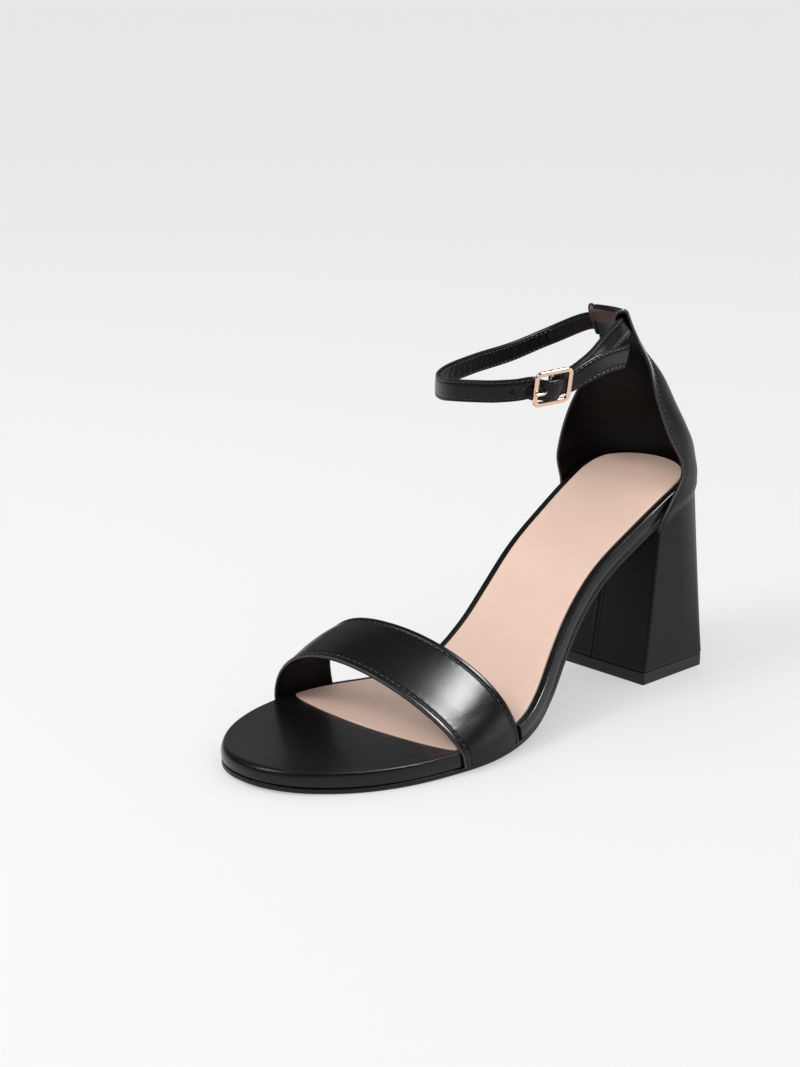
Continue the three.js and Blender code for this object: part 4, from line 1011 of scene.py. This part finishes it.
def heel():
    """Block heel: a straight-sided loft from the nearly square foot to the seat's round, wrapped in
    leather with its seam down the middle of the breast."""
    t, side = heel_outline()
    foot_x, foot_s = heel_foot(t, side)
    top_x, top_s = heel_top(t, side)
    base = stack(foot_x, -foot_s, TOP_PIECE_THICK + CLEAR)
    end = under_sole(top_x, top_s)
    rows = []
    for up in np.concatenate([[0, .004, .012], np.linspace(.03, .97, 40), [.985, 1]]):
        mix = up**.9
        rows.append(np.stack([lerp(base[:, 0], end[:, 0], mix), lerp(base[:, 1], end[:, 1], mix),
                              lerp(base[:, 2], end[:, 2], up)], -1))
    rows = soften(np.stack(rows), .55, 560)
    columns = rows.shape[1]
    # seam: a fine groove between two low swellings, at the middle of the breast
    across = np.linalg.norm(rows - rows[:, columns // 2][:, None], axis=-1)
    near_seam = np.abs(np.arange(columns) - columns // 2)[None, :] < 40
    across = np.where(near_seam, across, 99)
    wave = -.34 * bell(across, 0, .34) + .12 * bell(across, .9, .6)
    rows[..., 1] -= wave
    rows[:2] = lerp(rows[:2], rows[:2].mean(1, keepdims=True), np.array([.011, .004])[:, None, None])
    spine_s = np.clip(-rows[-1][:, 1], SEAT_ROUND * .55, BREAST_TOP - 5)
    top_spine = under_sole(centre_at(spine_s), spine_s)
    top_spine[:, 1] = -spine_s
    foot_spine = stack(0 * spine_s, -spine_s, rows[0][:, 2])
    low = [lerp(foot_spine, rows[0], k) for k in (0, .4, .8, .97)]
    high = [lerp(rows[-1], top_spine, k) for k in (.03, .3, .65, 1)]
    grid = np.concatenate([np.stack(low), rows, np.stack(high)])
    return Piece("heel_cover").grid(grid).make([LEATHER], "black_leather", ["heel_block"])


def top_piece():
    """Rubber tread, straight sided, with a worn lower edge and a fine moulded line."""
    t, side = heel_outline()
    x, s = heel_foot(t, side)
    ring = stack(x * (1 - .6 / HEEL_TREAD_WIDTH), -s, 0)
    middle = np.array([0, -(HEEL_TREAD_BACK + HEEL_TREAD_LENGTH / 2), 0])
    # inset and height
    profile = [(.45, 0), (.18, .08), (.05, .25), (0, .5), (0, 2.4), (.03, 4.0), (.02, 4.7), (.12, 4.93),
               (.3, TOP_PIECE_THICK)]
    ring = soften(ring[None], .3, 420)[0]
    out = unit(ring - middle)
    rows = [lerp(middle, ring, k) for k in (0, .5, .9)]
    rows += [ring - out * inset + [0, 0, z] for inset, z in profile]
    rows += [lerp(middle, ring, k) + [0, 0, TOP_PIECE_THICK] for k in (.9, .5, 0)]
    return Piece("heel_tread").grid(np.stack(rows)).make([TREAD], "top_piece_rubber", ["top_piece"])


# ---------------------------------------------------------------- upper
def hem(d, seam, bead, groove):
    """Height of a folded edge: a low bead outside the stitches, a groove under them."""
    return bead * ramp(d, 0, .8) * (1 - ramp(d, seam - .9, seam)) - groove * bell(d, seam, .5) \
        - .12 * (1 - ramp(d, 0, .5))


def toe_strap():
    """A wide band with folded, stitched edges. Where it turns over at the sides it has soft cross
    creases, and its face swells a little between the hems."""
    seam = 2.5

    def relief(d, b, inner):
        if inner:
            return .05 * np.sin(b * 90 + d) * ramp(d, 1, 4)
        crease = -.07 * bell(b, .15 + .002 * d, .02) - .05 * bell(b, .20 - .0015 * d, .016) \
            - .07 * bell(b, .86 - .002 * d, .02) - .05 * bell(b, .80, .016)
        pucker = .018 * np.sin(b * 2 * np.pi * 52) * bell(d, seam + .9, .9)
        return hem(d, seam, .16, .24) + .22 * ramp(d, seam, 11) + crease * ramp(d, 1, 5) + pucker

    b = stretches((0, .12, 60), (.12, .88, 240), (.88, 1, 59))
    rows, kind = sheet_rows(toe_strap_face, b, TOE_STRAP_THICK, .8, 20, relief)
    # a strip of the front edge's rim gets the painted highlight material: a painted highlight line along
    # that edge
    kind[-4:-1] = 3
    piece = Piece("toe_band").grid(rows, kind)
    for share, distance in ((0, seam), (1, -seam)):
        line = (toe_strap_face, share, distance, .03, .97, BAND_STITCH_PITCH)
        piece.many(stitch_line(*line, -.2), 2)
    return piece.make([STRAP_LEATHER, LINING, THREAD, PAINTED_EDGE_HIGHLIGHT], "black_leather", ["toe_strap"])


def counter():
    """The back of the upper with its tab: folded front edges with a stitch line beside them, a lining,
    soft ripples low on the wall, and the flap turned down inside."""
    seam = 1.9

    def relief(d, b, inner):
        low = b / WALL_PART
        ripple = .12 * np.sin(low * 26 + d * .35) * bell(low, .16, .12) \
            + .10 * np.sin(low * 15 + d * .22) * bell(low, .45, .2)
        if inner:
            return .06 * np.sin(b * 70 + d * .8) * ramp(d, 1, 4)
        return hem(d, seam, .26, .26) + ripple * ramp(d, 2, 7) - .7 * (1 - ramp(low, 0, .05))

    b = stretches((0, .06, 24), (.06, WALL_PART, 130), (WALL_PART, FOLD_PART, 44), (FOLD_PART, 1, 35))
    rows, kind = sheet_rows(counter_outside, b, COUNTER_THICK, .7, 18, relief, 4.0)
    wide = (len(kind) - 2 * len(RIM_TURNS)) // 2
    # a strip of each front edge's rim gets the painted highlight material: a painted highlight line along
    # these edges
    kind[wide + 1:wide + 4], kind[-4:-1] = 4, 4
    kinds = np.broadcast_to(kind, (len(rows) - 1, len(kind))).copy()
    place = np.concatenate([[0], b])[:, None]
    kinds[(place > .80) & (place < .885) & (kind[None, :] == 0)] = 2
    piece = Piece("counter_leather").grid(rows, kinds)
    for share, distance in ((0, seam), (1, -seam)):
        line = (counter_outside, share, distance, .05, .71, STITCH_PITCH)
        piece.many(stitch_line(*line, -.2, length=1.6), 3)
    return piece.make([LEATHER, LINING, SUEDE_BACK, THREAD, PAINTED_EDGE_HIGHLIGHT], "black_leather",
                      ["heel_counter"])


OUT_OF_BUCKLE = strap_run(11)
HOLE_RUNS = [OUT_OF_BUCKLE + 2.2 + 6.2 * k for k in range(2)]


def ankle_strap():
    """Two leather layers, stitched near both edges, with punched holes ahead of the buckle. The inner
    face is crinkled where it bends."""
    seam = 1.05

    def relief(d, b, inner):
        run = b * STRAP_LENGTH
        if inner:
            near_tab = ramp(run, strap_run(19.6), strap_run(21)) \
                * (1 - ramp(run, strap_run(22), strap_run(23)))
            crinkle = np.sin(run * 3.1 + 1.7 * np.sin(run / 2.9) + .5 * d)
            return .09 * np.sin(run * 1.5 + 2.2 * np.sin(run / 7) + d) * ramp(d, .5, 1.6) \
                - .2 * near_tab * crinkle**2 * ramp(d, .3, 1.2)
        up = ANKLE_STRAP_WIDTH / 2 - d
        holes = sum(bell(np.hypot(run - hole, up), 0, .62) for hole in HOLE_RUNS)
        rims = sum(bell(np.hypot(run - hole, up), 1.15, .3) for hole in HOLE_RUNS)
        swell = .14 * ramp(d, seam, 2.6)
        return hem(d, seam, .08, .16) + swell - .7 * holes + .05 * rims \
            + .02 * np.sin(run * 2 * np.pi / STITCH_PITCH) * bell(d, seam + .4, .5)

    run = stretches((0, 8, 40), (8, OUT_OF_BUCKLE - .5, 60),
                    (OUT_OF_BUCKLE - .5, OUT_OF_BUCKLE + 12, 110), (OUT_OF_BUCKLE + 12, STRAP_LENGTH, 420))
    rows, kind = sheet_rows(ankle_strap_face, run / STRAP_LENGTH, ANKLE_STRAP_THICK, .45, 9, relief, 2.0)
    kinds = np.broadcast_to(kind, (len(rows) - 1, len(kind))).copy()
    kinds[0] = 3
    piece = Piece("ankle_band").grid(rows, kinds)
    for share, distance in ((0, seam), (1, -seam)):
        line = (ankle_strap_face, share, distance, .008, .985, STITCH_PITCH)
        piece.many(stitch_line(*line, -.14, length=1.55, wide=.36), 2)
        piece.many(stitch_line(*line, -.04, inner=ANKLE_STRAP_THICK, length=1.5, wide=.34), 2)
    return piece.make([STRAP_LEATHER, LINING, THREAD, EDGE], "black_leather", ["ankle_strap"])


# ---------------------------------------------------------------- buckle
def buckle():
    """Frame: a rounded rectangle swept with a superellipse section, and the centre bar across it."""
    radius = BUCKLE_CORNER - BUCKLE_BAR / 2
    half_x, half_y = BAR_HALF, BUCKLE_HEIGHT / 2 - BUCKLE_BAR / 2
    arc = np.radians(np.linspace(0, 90, 10))
    corners = [(half_x - radius, half_y - radius, 0), (radius - half_x, half_y - radius, 90),
               (radius - half_x, radius - half_y, 180), (half_x - radius, radius - half_y, 270)]
    points = []
    for (cx, cy, start), (nx, ny, _) in zip(corners, corners[1:] + corners[:1]):
        a = arc + math.radians(start)
        points.append(np.stack([cx + radius * np.cos(a), cy + radius * np.sin(a)], -1))
        first = np.array([nx, ny]) + radius * np.array([math.cos(a[-1]), math.sin(a[-1])])
        points.append(lerp(points[-1][-1], first, np.linspace(0, 1, 16)[1:-1, None]))
    line = np.concatenate(points)
    tangent = unit(np.roll(line, -1, 0) - np.roll(line, 1, 0))
    out = np.stack([tangent[:, 1], -tangent[:, 0]], -1)
    u = np.linspace(0, 2 * np.pi, 24, endpoint=False)
    power = .72
    wide = BUCKLE_BAR / 2 * np.sign(np.cos(u)) * np.abs(np.cos(u))**power
    deep = BUCKLE_THICK / 2 * np.sign(np.sin(u)) * np.abs(np.sin(u))**power
    place = line[:, None] + out[:, None] * wide[None, :, None]
    rows = at_buckle(place[..., 0], place[..., 1] + BUCKLE_LIFT, FRAME_OFFSET + deep[None, :])
    ring = np.concatenate([rows, rows[:1]])
    bar_line = at_buckle(0, np.linspace(-half_y, half_y, 24) + BUCKLE_LIFT, BAR_OFFSET)
    piece = Piece("buckle_ring").grid(ring).grid(tube_closed(bar_line, CENTRE_BAR / 2))
    return piece.make([GOLD], "rose_gold", ["buckle_frame"], sharp=70)


def prong():
    """The pin: up through the strap's hole, straight over it and down onto the front bar, thinner
    towards its rounded tip."""
    rest = FRAME_OFFSET + BUCKLE_THICK / 2 + CLEAR + PRONG / 2
    gap = CENTRE_BAR / 2 + CLEAR + PRONG / 2
    stops = [(-gap, BAR_OFFSET), (-gap - 1.3, BAR_OFFSET + 1.5), (-BAR_HALF * .7, rest + .1),
             (-BAR_HALF, rest + .2), (-BAR_HALF - 1.0, rest + .1)]
    line, place = centripetal([at_buckle(x, 0, z) for x, z in stops], 14)
    radius = PRONG / 2 * (1 - .16 * ramp(place, 1.5, 4))
    piece = Piece("buckle_pin").grid(tube_closed(line, radius))
    return piece.make([GOLD], "rose_gold", ["buckle_prong"], sharp=80)


for build in (outsole, footbed, sock, heel, top_piece, toe_strap, counter, ankle_strap, buckle, prong):
    build()


# ---------------------------------------------------------------- floor, light and camera
def plain_material(name, colour, rough, glow):
    material = bpy.data.materials.new(name)
    material.use_nodes = True
    shader = next(n for n in material.node_tree.nodes if n.type == "BSDF_PRINCIPLED")
    shader.inputs["Base Color"].default_value = (*colour, 1)
    shader.inputs["Roughness"].default_value = rough
    shader.inputs["Specular IOR Level"].default_value = 0.1
    shader.inputs["Emission Color"].default_value = (1, 1, 1, 1)
    shader.inputs["Emission Strength"].default_value = glow
    return material


WORLD_SEEN, WORLD_LIGHT, WORLD_MIRRORED = .93, .8, .13
FLOOR_RADIUS = 40.0
LIT_POINT = np.array([0, 0, .06])
# name, place in metres, side of the square, watts, seen in gloss only
LIGHTS = [("key", (-.3, -.9, 1.05), .5, 6.5, False), ("gleam", (.36, .26, 1.0), .32, 25.0, True),
          ("side_gleam", (1.0, .9, .15), .8, 4.0, True), ("left_gleam", (-.9, .5, .6), .6, .25, True)]


def placed(right, up, back, at):
    """A matrix from three axes and a place."""
    return Matrix([[float(v[i]) for v in (right, up, back, at)] for i in range(3)] + [[0, 0, 0, 1]])


def studio():
    """A pale glowing floor disc and a pale world, a soft key light in front and above, and three lamps
    that are seen in gloss only."""
    mesh = bpy.data.meshes.new("floor")
    turn = np.linspace(0, 2 * np.pi, 96, endpoint=False)
    rim = np.stack([FLOOR_RADIUS * np.cos(turn), FLOOR_RADIUS * np.sin(turn), 0 * turn], -1)
    mesh.from_pydata(rim.tolist(), [], [list(range(96))])
    mesh.materials.append(plain_material("pale_floor", (.45, .45, .45), .8, .46))
    floor = bpy.data.objects.new("floor", mesh)
    bpy.context.scene.collection.objects.link(floor)

    world = bpy.data.worlds.new("studio")
    bpy.context.scene.world = world
    world.use_nodes = True
    tree = world.node_tree
    background = next(n for n in tree.nodes if n.type == "BACKGROUND")
    background.inputs["Color"].default_value = (.99, .99, 1, 1)
    path = add_node(tree, "LightPath")
    seen = maths(tree, "MULTIPLY", path.outputs["Is Camera Ray"], WORLD_SEEN - WORLD_LIGHT)
    mirrored = maths(tree, "MULTIPLY", path.outputs["Is Glossy Ray"], WORLD_MIRRORED - WORLD_LIGHT)
    strength = maths(tree, "ADD", maths(tree, "ADD", seen, mirrored), WORLD_LIGHT)
    tree.links.new(strength, background.inputs["Strength"])
    for name, place, size, power, gloss_only in LIGHTS:
        light = bpy.data.lights.new(name, "AREA")
        light.shape, light.size, light.energy = "SQUARE", size, power
        lamp = bpy.data.objects.new(name, light)
        at = np.array(place)
        back = unit(at - LIT_POINT)
        side = unit(np.cross([0, 0, 1.0], back))
        up = np.cross(back, side)
        lamp.matrix_world = placed(side, up, back, at)
        lamp.visible_diffuse, lamp.visible_camera = not gloss_only, False
        bpy.context.scene.collection.objects.link(lamp)


def camera():
    """Lens and place as worked out from the photograph's perspective."""
    data = bpy.data.cameras.new("camera")
    data.sensor_fit, data.sensor_height, data.lens = "VERTICAL", 36.0, 67.3
    data.clip_start, data.clip_end = .01, 100
    eye = bpy.data.objects.new("camera", data)
    right = (.71085, .70334, 0)
    up = (-.2039081, .20608907, .95705213)
    back = (.67312863, -.68032832, .28991588)
    at = (.478438, -.518979, .282288)
    eye.matrix_world = placed(right, up, back, at)
    bpy.context.scene.collection.objects.link(eye)
    bpy.context.scene.camera = eye


studio()
camera()
bpy.context.scene.view_settings.view_transform = "Standard"
